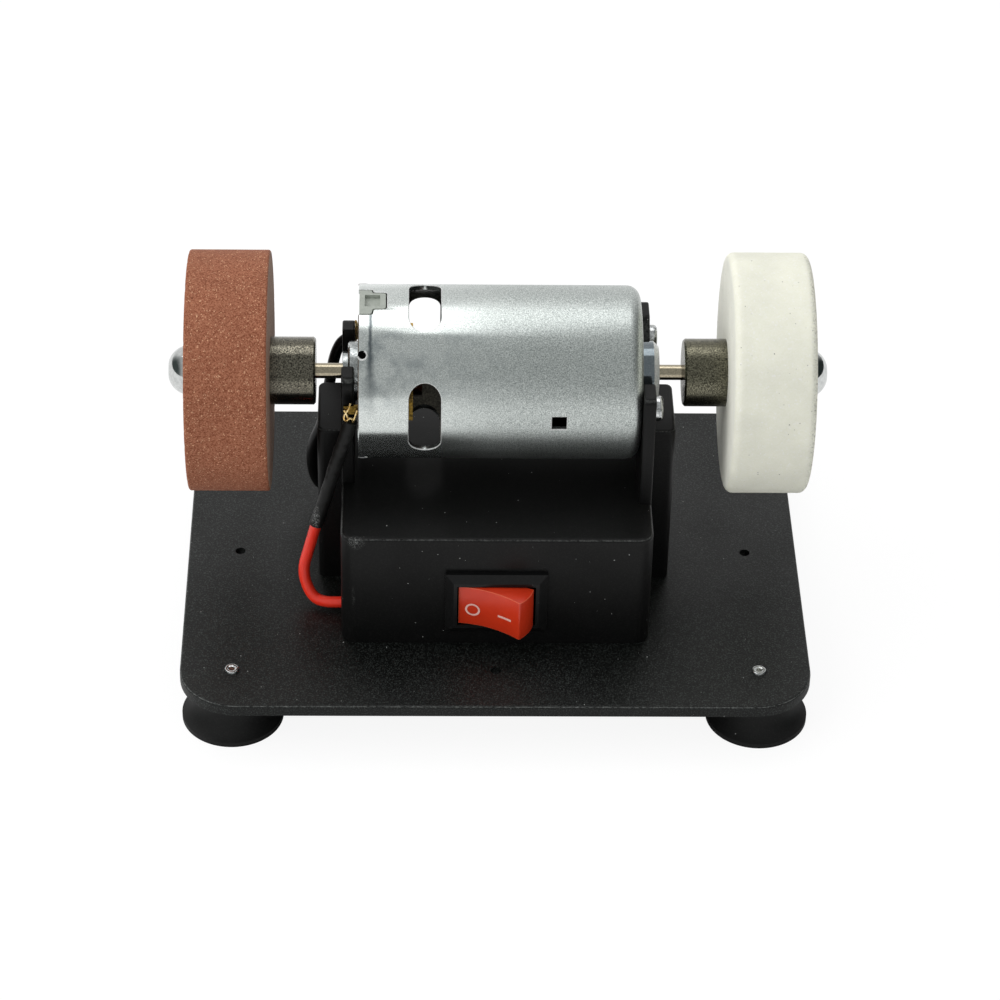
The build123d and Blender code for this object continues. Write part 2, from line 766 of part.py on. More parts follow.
# Two pan-head screws through the right cheek hold the motor.
screw_tip = can_front - can_wall - motor_screw_past_wall
with BuildPart() as motor_screws:
    with BuildSketch(cross_plane(housing_side)):
        with GridLocations(motor_screw_spacing, 0, 2, 1):
            Circle(motor_screw_head_diameter / 2)
    extrude(amount=motor_screw_head_height)
    fillet(motor_screws.faces().group_by(Axis.X)[-1].edges(), motor_screw_head_round)
    with BuildSketch(cross_plane(housing_side)):
        with GridLocations(motor_screw_spacing, 0, 2, 1):
            Circle(motor_screw_diameter / 2)
    extrude(amount=screw_tip - housing_side)
    with BuildSketch(cross_plane(housing_side + motor_screw_head_height)):
        with GridLocations(motor_screw_spacing, 0, 2, 1):
            Rectangle(cross_length, cross_width)
            Rectangle(cross_width, cross_length)
    extrude(amount=-cross_depth, mode=Mode.SUBTRACT)
motor_screws.part.label = "motor_screws"
export_step(motor_screws.part, "parts/motor_screws.step")

# The shaft runs through the motor and into both arbors.
hub_starts = {"left": post_outer + left_arbor_gap, "right": post_outer + right_arbor_gap}
shaft_ends = {side_name: hub_start + shaft_engagement for side_name, hub_start in hub_starts.items()}
with BuildPart() as motor_shaft:
    with BuildSketch(cross_plane(-shaft_ends["left"])):
        Circle(shaft_radius)
    extrude(amount=shaft_ends["left"] + shaft_ends["right"])
    chamfer(motor_shaft.edges().filter_by(GeomType.CIRCLE), shaft_chamfer)
motor_shaft.part.label = "motor_shaft"
export_step(motor_shaft.part, "parts/motor_shaft.step")

# The armature: slotted laminations, their windings and the commutator.
armature_radius = magnet_inner_radius - air_gap
armature_end = can_front - armature_from_front
armature_start = armature_end - armature_length
slot_mouth = armature_radius * slot_mouth_share
slot_root = armature_radius * slot_root_share
slot_floor = armature_radius * (1 - slot_depth_share)
with BuildPart() as armature_core:
    with BuildSketch(cross_plane(armature_start)):
        Circle(armature_radius)
        Circle(shaft_radius + fixed_gap, mode=Mode.SUBTRACT)
        with PolarLocations(0, armature_slots):
            with Locations((slot_floor + slot_root / 2, 0)):
                Circle(slot_root / 2, mode=Mode.SUBTRACT)
            with Locations((slot_floor + slot_root / 2, 0)):
                Rectangle(
                    armature_radius, slot_mouth, align=(Align.MIN, Align.CENTER), mode=Mode.SUBTRACT,
                )
    extrude(amount=armature_length)
armature_core.part.label = "armature_core"
export_step(armature_core.part, "parts/armature_core.step")

with BuildPart() as armature_windings:
    for start in (armature_start - winding_overhang, armature_end):
        with BuildSketch(cross_plane(start)):
            Circle(armature_radius * winding_share)
            Circle(winding_hub_diameter / 2, mode=Mode.SUBTRACT)
        extrude(amount=winding_overhang)
    with BuildSketch(cross_plane(armature_start)):
        with PolarLocations(slot_floor + slot_root / 2, armature_slots):
            Circle(slot_root / 2 - fixed_gap)
    extrude(amount=armature_length)
armature_windings.part.label = "armature_windings"
export_step(armature_windings.part, "parts/armature_windings.step")

with BuildPart() as commutator:
    with BuildSketch(cross_plane(cap_inner_face + commutator_from_cap)):
        Circle(commutator_radius)
        Circle(shaft_radius + fixed_gap, mode=Mode.SUBTRACT)
        with PolarLocations(commutator_radius, armature_slots, start_angle=180 / armature_slots):
            Rectangle(2 * commutator_groove, commutator_groove, mode=Mode.SUBTRACT)
    extrude(amount=commutator_length)
commutator.part.label = "commutator"
export_step(commutator.part, "parts/commutator.step")

# An arbor, a wheel, a washer and a domed screw at each end of the shaft.
hub_lengths = {"left": left_hub_length, "right": right_hub_length}
hub_radius = wheel_bore / 2 + arbor_shoulder
spigot_radius = wheel_bore / 2 - fixed_gap
wheel_screw_radius = wheel_screw_diameter / 2
head_radius = wheel_screw_head_diameter / 2
dome_flat = wheel_screw_dome_flat / 2
dome_middle_r = head_radius - (head_radius - dome_flat) * wheel_screw_dome_drop
wheel_rounds = {"left": brown_wheel_round, "right": white_wheel_round}
wheel_names = {"left": "brown_wheel", "right": "white_wheel"}
for side_name, sign in sides.items():
    hub_inner = hub_starts[side_name]
    shaft_end = shaft_ends[side_name]
    wheel_inner_face = hub_inner + hub_lengths[side_name]
    wheel_outer_face = wheel_inner_face + wheel_thickness
    spigot_end = wheel_outer_face - arbor_spigot_short
    washer_end = wheel_outer_face + wheel_washer_thickness
    head_end = washer_end + wheel_screw_head_height
    screw_end = washer_end - wheel_screw_length
    grub_x = (hub_inner + shaft_end) / 2
    dome_foot = washer_end + wheel_screw_head_side
    dome_middle_x = dome_foot + (head_end - dome_foot) * wheel_screw_dome_across
    with BuildPart() as arbor:
        with BuildSketch(radial_plane(90)):
            with BuildLine():
                Polyline(
                    (sign * hub_inner, shaft_radius + fixed_gap),
                    (sign * hub_inner, hub_radius - arbor_edge),
                    (sign * (hub_inner + arbor_edge), hub_radius),
                    (sign * wheel_inner_face, hub_radius),
                    (sign * wheel_inner_face, spigot_radius),
                    (sign * spigot_end, spigot_radius),
                    (sign * spigot_end, wheel_screw_radius + fixed_gap),
                    (sign * (screw_end - free_gap), wheel_screw_radius + fixed_gap),
                    (sign * (screw_end - free_gap), 0),
                    (sign * (shaft_end + free_gap), 0),
                    (sign * (shaft_end + free_gap), shaft_radius + fixed_gap),
                    close=True,
                )
            make_face()
        revolve(axis=shaft_axis)
        with BuildSketch(Plane(origin=(sign * grub_x, 0, shaft_z), x_dir=(1, 0, 0), z_dir=(0, 0, -1))):
            Circle(grub_diameter / 2 + fixed_gap)
        extrude(amount=hub_radius + overrun, mode=Mode.SUBTRACT)
    arbor.part.label = f"{side_name}_arbor"
    export_step(arbor.part, f"parts/{side_name}_arbor.step")

    wheel_round = wheel_rounds[side_name]
    with BuildPart() as grinding_wheel:
        with BuildSketch(cross_plane(sign * wheel_inner_face)):
            Circle(wheel_diameter / 2)
            Circle(wheel_bore / 2, mode=Mode.SUBTRACT)
        extrude(amount=sign * wheel_thickness)
        fillet(
            grinding_wheel.edges().filter_by(GeomType.CIRCLE).sort_by(SortBy.RADIUS)[-2:], wheel_round,
        )
    grinding_wheel.part.label = wheel_names[side_name]
    export_step(grinding_wheel.part, f"parts/{wheel_names[side_name]}.step")

    with BuildPart() as wheel_washer:
        with BuildSketch(cross_plane(sign * wheel_outer_face)):
            Circle(wheel_bore / 2 + wheel_washer_overlap)
            Circle(wheel_screw_radius + fixed_gap, mode=Mode.SUBTRACT)
        extrude(amount=sign * wheel_washer_thickness)
    wheel_washer.part.label = f"{side_name}_wheel_washer"
    export_step(wheel_washer.part, f"parts/{side_name}_wheel_washer.step")

    with BuildPart() as wheel_screw:
        with BuildSketch(radial_plane(90)):
            with BuildLine():
                Polyline(
                    (sign * head_end, dome_flat), (sign * head_end, 0), (sign * screw_end, 0),
                    (sign * screw_end, wheel_screw_radius), (sign * washer_end, wheel_screw_radius),
                    (sign * washer_end, head_radius),
                    (sign * dome_foot, head_radius),
                )
                ThreePointArc(
                    (sign * dome_foot, head_radius),
                    (sign * dome_middle_x, dome_middle_r), (sign * head_end, dome_flat),
                )
            make_face()
        revolve(axis=shaft_axis)
        with BuildSketch(cross_plane(sign * head_end)):
            RegularPolygon(hex_socket / 2, 6, major_radius=False)
        extrude(amount=-sign * hex_socket_depth, mode=Mode.SUBTRACT)
    wheel_screw.part.label = f"{side_name}_wheel_screw"
    export_step(wheel_screw.part, f"parts/{side_name}_wheel_screw.step")

# A grub screw in each arbor grips the shaft.
with BuildPart() as arbor_grub_screws:
    for side_name, sign in sides.items():
        grub_x = (hub_starts[side_name] + shaft_ends[side_name]) / 2
        with BuildSketch(Plane(
            origin=(sign * grub_x, 0, shaft_z - shaft_radius - fixed_gap),
            x_dir=(1, 0, 0), z_dir=(0, 0, -1),
        )):
            Circle(grub_diameter / 2)
        extrude(amount=hub_radius - shaft_radius - grub_below_surface)
        with BuildSketch(Plane(
            origin=(sign * grub_x, 0, shaft_z - hub_radius + grub_below_surface + fixed_gap),
            x_dir=(1, 0, 0), z_dir=(0, 0, 1),
        )):
            RegularPolygon(grub_socket / 2, 6, major_radius=False)
        extrude(amount=grub_socket_depth, mode=Mode.SUBTRACT)
arbor_grub_screws.part.label = "arbor_grub_screws"
export_step(arbor_grub_screws.part, "parts/arbor_grub_screws.step")

# The switch body: a black snap-in case with a bevelled frame.
bezel_front = housing_front - bezel_thickness
pivot_y = bezel_front + pivot_behind_bezel
body_back = housing_front + switch_body_depth
rocker_radius = bezel_width / 2 - bezel_frame - rocker_end_gap
rocker_height = bezel_height - 2 * (bezel_frame + rocker_end_gap)
window_width = bezel_width - 2 * bezel_frame
window_height = bezel_height - 2 * bezel_frame
switch_face = Plane(origin=(0, housing_front, switch_z), x_dir=(1, 0, 0), z_dir=(0, -1, 0))
terminal_places = [(0, 0), (-load_tab_offset, 0)]
with BuildPart() as switch_body:
    with BuildSketch(switch_face):
        Rectangle(bezel_width, bezel_height)
    extrude(amount=bezel_thickness)
    bezel_face = switch_body.faces().sort_by(Axis.Y)[0]
    chamfer(bezel_face.edges(), bezel_bevel_width, bezel_bevel_depth, reference=bezel_face)
    with BuildSketch(switch_face):
        Rectangle(switch_body_width, switch_body_height)
    extrude(amount=-switch_body_depth)
    with BuildSketch(switch_face.offset(bezel_thickness)):
        Rectangle(window_width, window_height)
    extrude(amount=-(bezel_thickness + switch_body_depth - switch_floor), mode=Mode.SUBTRACT)
    with BuildSketch(switch_face.offset(-switch_body_depth)):
        with Locations(*terminal_places):
            Rectangle(switch_tab_thickness + 2 * fixed_gap, switch_tab_width + 2 * fixed_gap)
    extrude(amount=switch_floor, mode=Mode.SUBTRACT)
    with Locations((0, pivot_y, switch_z)):
        Cylinder(
            axle_diameter / 2 + running_gap, rocker_height + 2 * (axle_length + free_gap),
            mode=Mode.SUBTRACT,
        )
switch_body.part.label = "switch_body"
export_step(switch_body.part, "parts/switch_body.step")


def rocker_place(along, outward, tilt=rocker_tilt):
    """Point of the rocker at a tilt, from its place along and out of the level rocker."""
    turn = radians(tilt)
    return (
        along * cos(turn) - outward * sin(turn),
        pivot_y - along * sin(turn) - outward * cos(turn),
    )


# The rocker: red moulded, hollow faced, at rest with its left side pressed in.
edge_along = rocker_radius * cos(radians(rocker_edge_angle))
edge_out = rocker_radius * sin(radians(rocker_edge_angle))
face_out = edge_out - edge_along * tan(radians(rocker_hollow_angle))
foot_along = sqrt(rocker_radius**2 - rocker_below_pivot**2)
stem_foot = rocker_below_pivot + stem_length
plunger_bore = plunger_diameter / 2 + fixed_gap
plunger_top = plunger_reach - plunger_length
stem_turn = radians(rocker_tilt)
with BuildPart() as rocker:
    with BuildSketch(Plane.XY.offset(switch_z)):
        with BuildLine():
            ThreePointArc(
                rocker_place(-edge_along, edge_out), rocker_place(0, face_out),
                rocker_place(edge_along, edge_out),
            )
            ThreePointArc(
                rocker_place(edge_along, edge_out), rocker_place(rocker_radius, 0),
                rocker_place(foot_along, -rocker_below_pivot),
            )
            Line(
                rocker_place(foot_along, -rocker_below_pivot),
                rocker_place(-foot_along, -rocker_below_pivot),
            )
            ThreePointArc(
                rocker_place(-foot_along, -rocker_below_pivot), rocker_place(-rocker_radius, 0),
                rocker_place(-edge_along, edge_out),
            )
        make_face()
    extrude(amount=rocker_height / 2, both=True)
    fillet(rocker.edges().group_by(Axis.Y)[0], rocker_edge_round)
    with Locations((0, pivot_y, switch_z)):
        Cylinder(axle_diameter / 2, rocker_height + 2 * axle_length)
    stem_plane = Plane(
        origin=(*rocker_place(0, -stem_foot), switch_z), x_dir=(0, 0, 1),
        z_dir=(-sin(stem_turn), -cos(stem_turn), 0),
    )
    with BuildSketch(stem_plane):
        Circle(stem_diameter / 2)
    extrude(amount=stem_length)
    with BuildSketch(stem_plane):
        Circle(plunger_bore)
    extrude(amount=stem_foot, mode=Mode.SUBTRACT)
rocker.part.label = "rocker"
export_step(rocker.part, "parts/rocker.step")

# The plunger in the rocker's stem, and the spring behind it.
plunger_radius = plunger_diameter / 2
plunger_plane = Plane(
    origin=(*rocker_place(0, -plunger_top), switch_z), x_dir=(0, 0, 1), z_dir=-stem_plane.z_dir,
)
with BuildPart() as rocker_plunger:
    with BuildSketch(plunger_plane):
        Circle(plunger_radius)
    extrude(amount=plunger_length)
    fillet(
        rocker_plunger.edges().filter_by(GeomType.CIRCLE).sort_by(Axis.Y)[-1:], plunger_radius / 2,
    )
rocker_plunger.part.label = "rocker_plunger"
export_step(rocker_plunger.part, "parts/rocker_plunger.step")

with BuildPart() as plunger_spring:
    with BuildSketch(plunger_plane):
        Circle(plunger_radius)
        Circle(plunger_radius - plunger_spring_wall, mode=Mode.SUBTRACT)
    extrude(amount=-plunger_top)
plunger_spring.part.label = "plunger_spring"
export_step(plunger_spring.part, "parts/plunger_spring.step")

# The rocking contact lies on the common terminal with its rolled bead, and tips the opposite way
# to the rocker.
contact_top = plunger_reach + free_gap + fixed_gap
contact_pivot_y = pivot_y + contact_top + contact_thickness
contact_turn = radians(contact_tilt)
contact_plane = Plane(
    origin=(0, contact_pivot_y, switch_z), x_dir=(cos(contact_turn), sin(contact_turn), 0), z_dir=(0, 0, 1),
)
with BuildPart() as rocking_contact:
    with BuildSketch(contact_plane):
        Rectangle(2 * contact_half_length, contact_thickness, align=(Align.CENTER, Align.MAX))
        Circle(contact_bead_radius)
    extrude(amount=contact_width / 2, both=True)
rocking_contact.part.label = "rocking_contact"
export_step(rocking_contact.part, "parts/rocking_contact.step")

common_top = contact_pivot_y + contact_bead_radius + contact_rest_gap
load_top = contact_pivot_y + contact_rest_gap + load_tab_drop
tab_back = body_back + switch_tab_length
for tab_name, tab_x, tab_top in (("common", 0, common_top), ("load", -load_tab_offset, load_top)):
    with BuildPart() as switch_tab:
        with Locations((tab_x, tab_top, switch_z)):
            Box(
                switch_tab_thickness, tab_back - tab_top, switch_tab_width,
                align=(Align.CENTER, Align.MIN, Align.CENTER),
            )
    switch_tab.part.label = f"switch_terminal_{tab_name}"
    export_step(switch_tab.part, f"parts/switch_terminal_{tab_name}.step")

# The power inlet in the back of the housing.
housing_back = housing_depth / 2
jack_plane = Plane(origin=(0, housing_back, jack_z), x_dir=(1, 0, 0), z_dir=(0, 1, 0))
jack_end = housing_back - jack_barrel_length
with BuildPart() as jack_body:
    with BuildSketch(jack_plane):
        Circle(jack_barrel_diameter / 2 + jack_flange_rim)
    extrude(amount=jack_flange_thickness)
    with BuildSketch(jack_plane):
        Circle(jack_barrel_diameter / 2)
    extrude(amount=-jack_barrel_length)
    with BuildSketch(jack_plane.offset(jack_flange_thickness)):
        Circle(jack_bore / 2)
    extrude(amount=-jack_bore_depth, mode=Mode.SUBTRACT)
    with BuildSketch(jack_plane.offset(-jack_barrel_length)):
        Circle(jack_pin_diameter / 2 + fixed_gap)
    extrude(amount=jack_barrel_length, mode=Mode.SUBTRACT)
jack_body.part.label = "jack_body"
export_step(jack_body.part, "parts/jack_body.step")

with BuildPart() as jack_pin:
    with BuildSketch(jack_plane.offset(jack_flange_thickness - jack_pin_recess)):
        Circle(jack_pin_diameter / 2)
    extrude(amount=-(jack_barrel_length + jack_flange_thickness - jack_pin_recess))
    with Locations((0, jack_end, jack_z)):
        Box(
            jack_lug_thickness, jack_lug_length, jack_lug_width,
            align=(Align.CENTER, Align.MAX, Align.CENTER),
        )
jack_pin.part.label = "jack_pin"
export_step(jack_pin.part, "parts/jack_pin.step")

with BuildPart() as jack_nut:
    with BuildSketch(jack_plane.offset(-housing_wall)):
        RegularPolygon(jack_barrel_diameter / 2 + jack_nut_rim, 6, major_radius=False)
        Circle(jack_barrel_diameter / 2 + fixed_gap, mode=Mode.SUBTRACT)
    extrude(amount=-jack_nut_thickness)
jack_nut.part.label = "jack_nut"
export_step(jack_nut.part, "parts/jack_nut.step")

ring_lug_y = jack_end + ring_lug_from_end
with BuildPart() as jack_ring_lug:
    with BuildSketch(Plane(origin=(0, ring_lug_y, jack_z), x_dir=(1, 0, 0), z_dir=(0, -1, 0))):
        Circle(jack_barrel_diameter / 2 + ring_lug_rim)
        Rectangle(ring_lug_reach, jack_lug_width, align=(Align.MAX, Align.CENTER))
        Circle(jack_barrel_diameter / 2 + fixed_gap, mode=Mode.SUBTRACT)
    extrude(amount=jack_lug_thickness)
jack_ring_lug.part.label = "jack_ring_lug"
export_step(jack_ring_lug.part, "parts/jack_ring_lug.step")

# Leads: soft insulated wires, each a tube along the points of its route. Their ends run
# square to the terminals that they meet.
tab_x = (tab_end + cap_outer_face) / 2
tab_foot = shaft_z - terminal_height / 2
lug_middle_y = ring_lug_y - jack_lug_thickness / 2
sleeve_bend = Vector(-35.0, -14.0, 38.4)
sleeve_end = Vector(-37.4, -14.2, 30.6)
lead_routes = {
    "red_lead_sleeve": [
        (tab_x, -terminal_offset, tab_foot), (tab_x, -terminal_offset, tab_foot - straight_end),
        (-32.6, -13.8, 46.8), sleeve_bend, sleeve_end,
    ],
    "red_motor_lead": [
        sleeve_end, 2 * sleeve_end - sleeve_bend, (-40.4, -16.4, 16.6), (-36.6, -19.2, 13.8),
        (-28.5, -19.7, 14.5), (-23.8, -14.0, 15.4), (-22.6, -5.5, 16.4), (-21.6, 3.2, 17.6),
        (-17.2, 10.4, 19.0), (-9.8, 11.6, 21.0), (-5.4, 5.6, 22.8),
        (-load_tab_offset, tab_back + 1.5 * straight_end, switch_z),
        (-load_tab_offset, tab_back, switch_z),
    ],
    "black_motor_lead": [
        (tab_x, terminal_offset, tab_foot), (tab_x, terminal_offset, tab_foot - straight_end),
        (-33.4, 13.9, 47.5), (-36.3, 14.2, 39.0), (-39.3, 14.7, 30.0), (-40.0, 16.2, 21.4),
        (-36.4, 18.9, 15.4), (-28.5, 19.7, 14.5), (-19.6, 20.4, 20.0),
        (-ring_lug_reach - straight_end, lug_middle_y, jack_z), (-ring_lug_reach, lug_middle_y, jack_z),
    ],
    "supply_lead": [
        (0, jack_end - jack_lug_length, jack_z), (0, jack_end - jack_lug_length - straight_end, jack_z),
        (0.9, 1.0, 22.6), (0, tab_back + straight_end, switch_z), (0, tab_back, switch_z),
    ],
}
lead_widths = {"red_lead_sleeve": sleeve_diameter}
for lead_name, route in lead_routes.items():
    places, radii = lead_path(route)
    width = lead_widths.get(lead_name, lead_diameter)
    with BuildPart() as lead:
        with BuildLine() as lead_line:
            FilletPolyline(*places, radius=radii)
        with BuildSketch(Plane(origin=places[0], z_dir=places[1] - places[0])):
            Circle(width / 2)
        sweep()
    length = lead_line.wire().length
    section = lead.part.volume / length
    print(lead_name, "radii", [round(radius, 1) for radius in radii], "length", round(length, 1))
    print(lead_name, "section", round(section, 3), "of", round(Circle(width / 2).area, 3))
    lead.part.label = lead_name
    export_step(lead.part, f"parts/{lead_name}.step")
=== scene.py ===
"""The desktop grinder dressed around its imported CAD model: finishes, leads and worn detail."""

import json
from math import cos, pi, radians, sin

import bmesh
import bpy
from mathutils import Matrix, Vector, noise
from mathutils.bvhtree import BVHTree


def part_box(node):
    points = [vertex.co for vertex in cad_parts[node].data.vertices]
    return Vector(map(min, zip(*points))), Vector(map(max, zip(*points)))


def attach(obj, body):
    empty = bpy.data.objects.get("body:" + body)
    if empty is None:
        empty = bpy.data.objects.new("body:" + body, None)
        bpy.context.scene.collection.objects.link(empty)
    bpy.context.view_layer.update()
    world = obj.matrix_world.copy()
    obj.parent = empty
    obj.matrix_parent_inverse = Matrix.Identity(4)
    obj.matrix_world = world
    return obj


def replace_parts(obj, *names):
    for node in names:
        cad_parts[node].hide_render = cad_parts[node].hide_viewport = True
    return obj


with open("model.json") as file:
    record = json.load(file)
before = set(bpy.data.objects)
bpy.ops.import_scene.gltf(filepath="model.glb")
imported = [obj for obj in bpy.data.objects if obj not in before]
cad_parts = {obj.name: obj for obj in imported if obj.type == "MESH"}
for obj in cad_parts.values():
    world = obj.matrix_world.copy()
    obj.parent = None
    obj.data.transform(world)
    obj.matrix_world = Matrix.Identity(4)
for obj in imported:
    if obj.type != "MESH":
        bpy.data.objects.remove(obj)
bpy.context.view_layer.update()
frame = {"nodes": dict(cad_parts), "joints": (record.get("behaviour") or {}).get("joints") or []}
scene = bpy.context.scene
scene.view_settings.view_transform = "Standard"
mm = 0.001

# The camera stands in front of the grinder, a little to its left, and looks down on it through
# a long lens. Its place was fitted to the edges of the plate, the can and the wheels.
camera_pitch = radians(38.0)
camera_turn = radians(-1.812)
camera_roll = radians(1.351)
camera_distance = 778.684 * mm
camera_target = Vector((1.261, 0, 26.0)) * mm
focal_lengths_per_frame = 3.674177
sensor_width = 36.0
nearest_seen = 10 * mm

back = Vector((
    sin(camera_turn) * cos(camera_pitch), -cos(camera_turn) * cos(camera_pitch), sin(camera_pitch),
))
level_right = Vector((0, 0, 1)).cross(back).normalized()
level_up = back.cross(level_right)
right = level_right * cos(camera_roll) + level_up * sin(camera_roll)
up = level_up * cos(camera_roll) - level_right * sin(camera_roll)
lens = bpy.data.cameras.new("camera")
lens.sensor_width = sensor_width
lens.lens = sensor_width * focal_lengths_per_frame
lens.clip_start = nearest_seen
camera = bpy.data.objects.new("camera", lens)
turn = Matrix((right, up, back)).transposed().to_4x4()
camera.matrix_world = Matrix.Translation(camera_target + back * camera_distance) @ turn
scene.collection.objects.link(camera)
scene.camera = camera


# The studio: a white table and backdrop in a grey room with darker sides. A wide soft lamp hangs
# just behind the grinder and draws the bright band along the motor can. Two more light the faces
# that look to the sides, the stronger one from the left, and stay out of the reflections.
def colour(hex_code):
    """Linear colour of an sRGB hex code."""
    shares = [int(hex_code[start:start + 2], 16) / 255 for start in (0, 2, 4)]
    return (*(s / 12.92 if s <= 0.04045 else ((s + 0.055) / 1.055) ** 2.4 for s in shares), 1)


def plug(tree, node, sockets):
    """Give each named socket of a node its value, or a link from another node's output."""
    for name, value in sockets.items():
        if isinstance(value, bpy.types.NodeSocket):
            tree.links.new(value, node.inputs[name])
        else:
            node.inputs[name].default_value = value


def add_node(tree, kind, sockets=None, **settings):
    """A new node with its settings and what its sockets take."""
    node = tree.nodes.new(kind)
    for name, value in settings.items():
        setattr(node, name, value)
    plug(tree, node, sockets or {})
    return node


white = colour("FFFFFF")
room_front = colour("BCBEBE")
room_behind = colour("F0F0F0")
room_left = colour("4A5250")
room_right = colour("2E3433")
floor_width = 12.0
floor_drop = 0.1 * mm
table_shade_reach = 40 * mm
table_glow_strength = 0.9

world = bpy.data.worlds.new("studio")
world.use_nodes = True
scene.world = world
sky = world.node_tree
sky.nodes.clear()
sky_ray = add_node(sky, "ShaderNodeLightPath")
seen_direct = add_node(
    sky, "ShaderNodeMath",
    {0: sky_ray.outputs["Is Camera Ray"], 1: sky_ray.outputs["Is Transmission Ray"]},
    operation="MAXIMUM",
)
direction = add_node(sky, "ShaderNodeTexCoord").outputs["Generated"]
heading = add_node(sky, "ShaderNodeSeparateXYZ", {"Vector": direction})
walls = room_front
for axis, start, end, wall in (
    ("Y", 0.1, 0.6, room_behind), ("X", 0.35, 0.85, room_right), ("X", -0.6, -0.92, room_left),
):
    share = add_node(
        sky, "ShaderNodeMapRange",
        {"Value": heading.outputs[axis], "From Min": start, "From Max": end},
        interpolation_type="SMOOTHSTEP",
    )
    walls = add_node(
        sky, "ShaderNodeMixRGB",
        {"Fac": share.outputs["Result"], "Color1": walls, "Color2": wall},
    ).outputs["Color"]
room = add_node(sky, "ShaderNodeBackground", {"Color": walls})
backdrop = add_node(sky, "ShaderNodeBackground", {"Color": white})
sky_mix = add_node(
    sky, "ShaderNodeMixShader",
    {0: seen_direct.outputs[0], 1: room.outputs[0], 2: backdrop.outputs[0]},
)
add_node(sky, "ShaderNodeOutputWorld", {"Surface": sky_mix.outputs[0]})

table_finish = bpy.data.materials.new("white_table")
table_finish.use_nodes = True
table = table_finish.node_tree
table.nodes.clear()
table_ray = add_node(table, "ShaderNodeLightPath")
# What is close to the table mirrors its shaded face, and what is further off mirrors it white.
table_far = add_node(
    table, "ShaderNodeMath", {0: table_ray.outputs["Ray Length"], 1: table_shade_reach},
    operation="GREATER_THAN",
)
table_mirrored = add_node(
    table, "ShaderNodeMath", {0: table_ray.outputs["Is Glossy Ray"], 1: table_far.outputs[0]},
    operation="MULTIPLY",
)
table_seen = add_node(
    table, "ShaderNodeMath",
    {0: table_ray.outputs["Is Camera Ray"], 1: table_mirrored.outputs[0]}, operation="MAXIMUM",
)
table_shown = add_node(
    table, "ShaderNodeMath",
    {0: table_seen.outputs[0], 1: table_ray.outputs["Is Transmission Ray"]},
    operation="MAXIMUM",
)
plain_table = add_node(table, "ShaderNodeBsdfDiffuse", {"Color": colour("E4E4E4")})
shaded_table = add_node(table, "ShaderNodeBsdfDiffuse", {"Color": colour("666666")})
table_glow = add_node(
    table, "ShaderNodeEmission", {"Color": white, "Strength": table_glow_strength},
)
shown_table = add_node(
    table, "ShaderNodeAddShader", {0: shaded_table.outputs[0], 1: table_glow.outputs[0]},
)
table_mix = add_node(
    table, "ShaderNodeMixShader",
    {0: table_shown.outputs[0], 1: plain_table.outputs[0], 2: shown_table.outputs[0]},
)
add_node(table, "ShaderNodeOutputMaterial", {"Surface": table_mix.outputs[0]})

table_sheet = bmesh.new()
bmesh.ops.create_grid(table_sheet, x_segments=1, y_segments=1, size=floor_width / 2)
bmesh.ops.translate(table_sheet, verts=table_sheet.verts, vec=(0, 0, -floor_drop))
floor_mesh = bpy.data.meshes.new("floor")
table_sheet.to_mesh(floor_mesh)
table_sheet.free()
floor_mesh.materials.append(table_finish)
floor = bpy.data.objects.new("floor", floor_mesh)
scene.collection.objects.link(floor)

# Each lamp has its stand, aim, width and length in millimetres, then its power in watts.
lamps = {
    "overhead_lamp": ((-160, 310, 960), (0, 0, 60), 900, 520, 2.45),
    "left_lamp": ((-1000, -350, 650), (0, 0, 50), 1500, 1500, 9.0),
    "right_lamp": ((1000, -450, 600), (0, 0, 50), 1200, 1200, 2.2),
}
for lamp_name, (stand, aim, width, length, watts) in lamps.items():
    mirrored = lamp_name == "overhead_lamp"
    light = bpy.data.lights.new(lamp_name, "AREA")
    light.shape = "RECTANGLE" if mirrored else "ELLIPSE"
    light.size = width * mm
    light.size_y = length * mm
    light.energy = watts
    lamp = bpy.data.objects.new(lamp_name, light)
    lamp.visible_glossy = mirrored
    lamp.location = Vector(stand) * mm
    lamp.rotation_euler = ((Vector(aim) - Vector(stand)) * mm).to_track_quat("-Z", "Y").to_euler()
    scene.collection.objects.link(lamp)


# The base plate: black ABS sheet, cut with rounded corners. The crests of its fine pebbled face
# are painted paler, as painted glints of grey. Handling has rubbed its top edge paler, and
# grinding dust lies on it.
def start_finish(name):
    """A new material, with its tree, its shader and the object coordinates."""
    material = bpy.data.materials.new(name)
    material.use_nodes = True
    tree = material.node_tree
    place = add_node(tree, "ShaderNodeTexCoord").outputs["Object"]
    return material, tree, tree.nodes["Principled BSDF"], place


def specked(tree, place, clean, speck, spacing, largest, share):
    """Colour of a surface with scattered specks: spacing and largest radius in millimetres."""
    cells = add_node(
        tree, "ShaderNodeTexVoronoi", {"Vector": place, "Scale": 1 / (spacing * mm)},
    )
    own = add_node(tree, "ShaderNodeSeparateColor", {"Color": cells.outputs["Color"]})
    reach = add_node(
        tree, "ShaderNodeMapRange",
        {"Value": own.outputs["Red"], "From Min": 1 - share, "From Max": 1.0,
         "To Max": largest / spacing},
    )
    near = add_node(
        tree, "ShaderNodeMath", {0: cells.outputs["Distance"], 1: reach.outputs["Result"]},
        operation="LESS_THAN",
    )
    faint = add_node(
        tree, "ShaderNodeMath", {0: near.outputs[0], 1: own.outputs["Green"]},
        operation="MULTIPLY",
    )
    mix = add_node(
        tree, "ShaderNodeMixRGB", {"Fac": faint.outputs[0], "Color1": clean, "Color2": speck},
    )
    return mix.outputs["Color"]


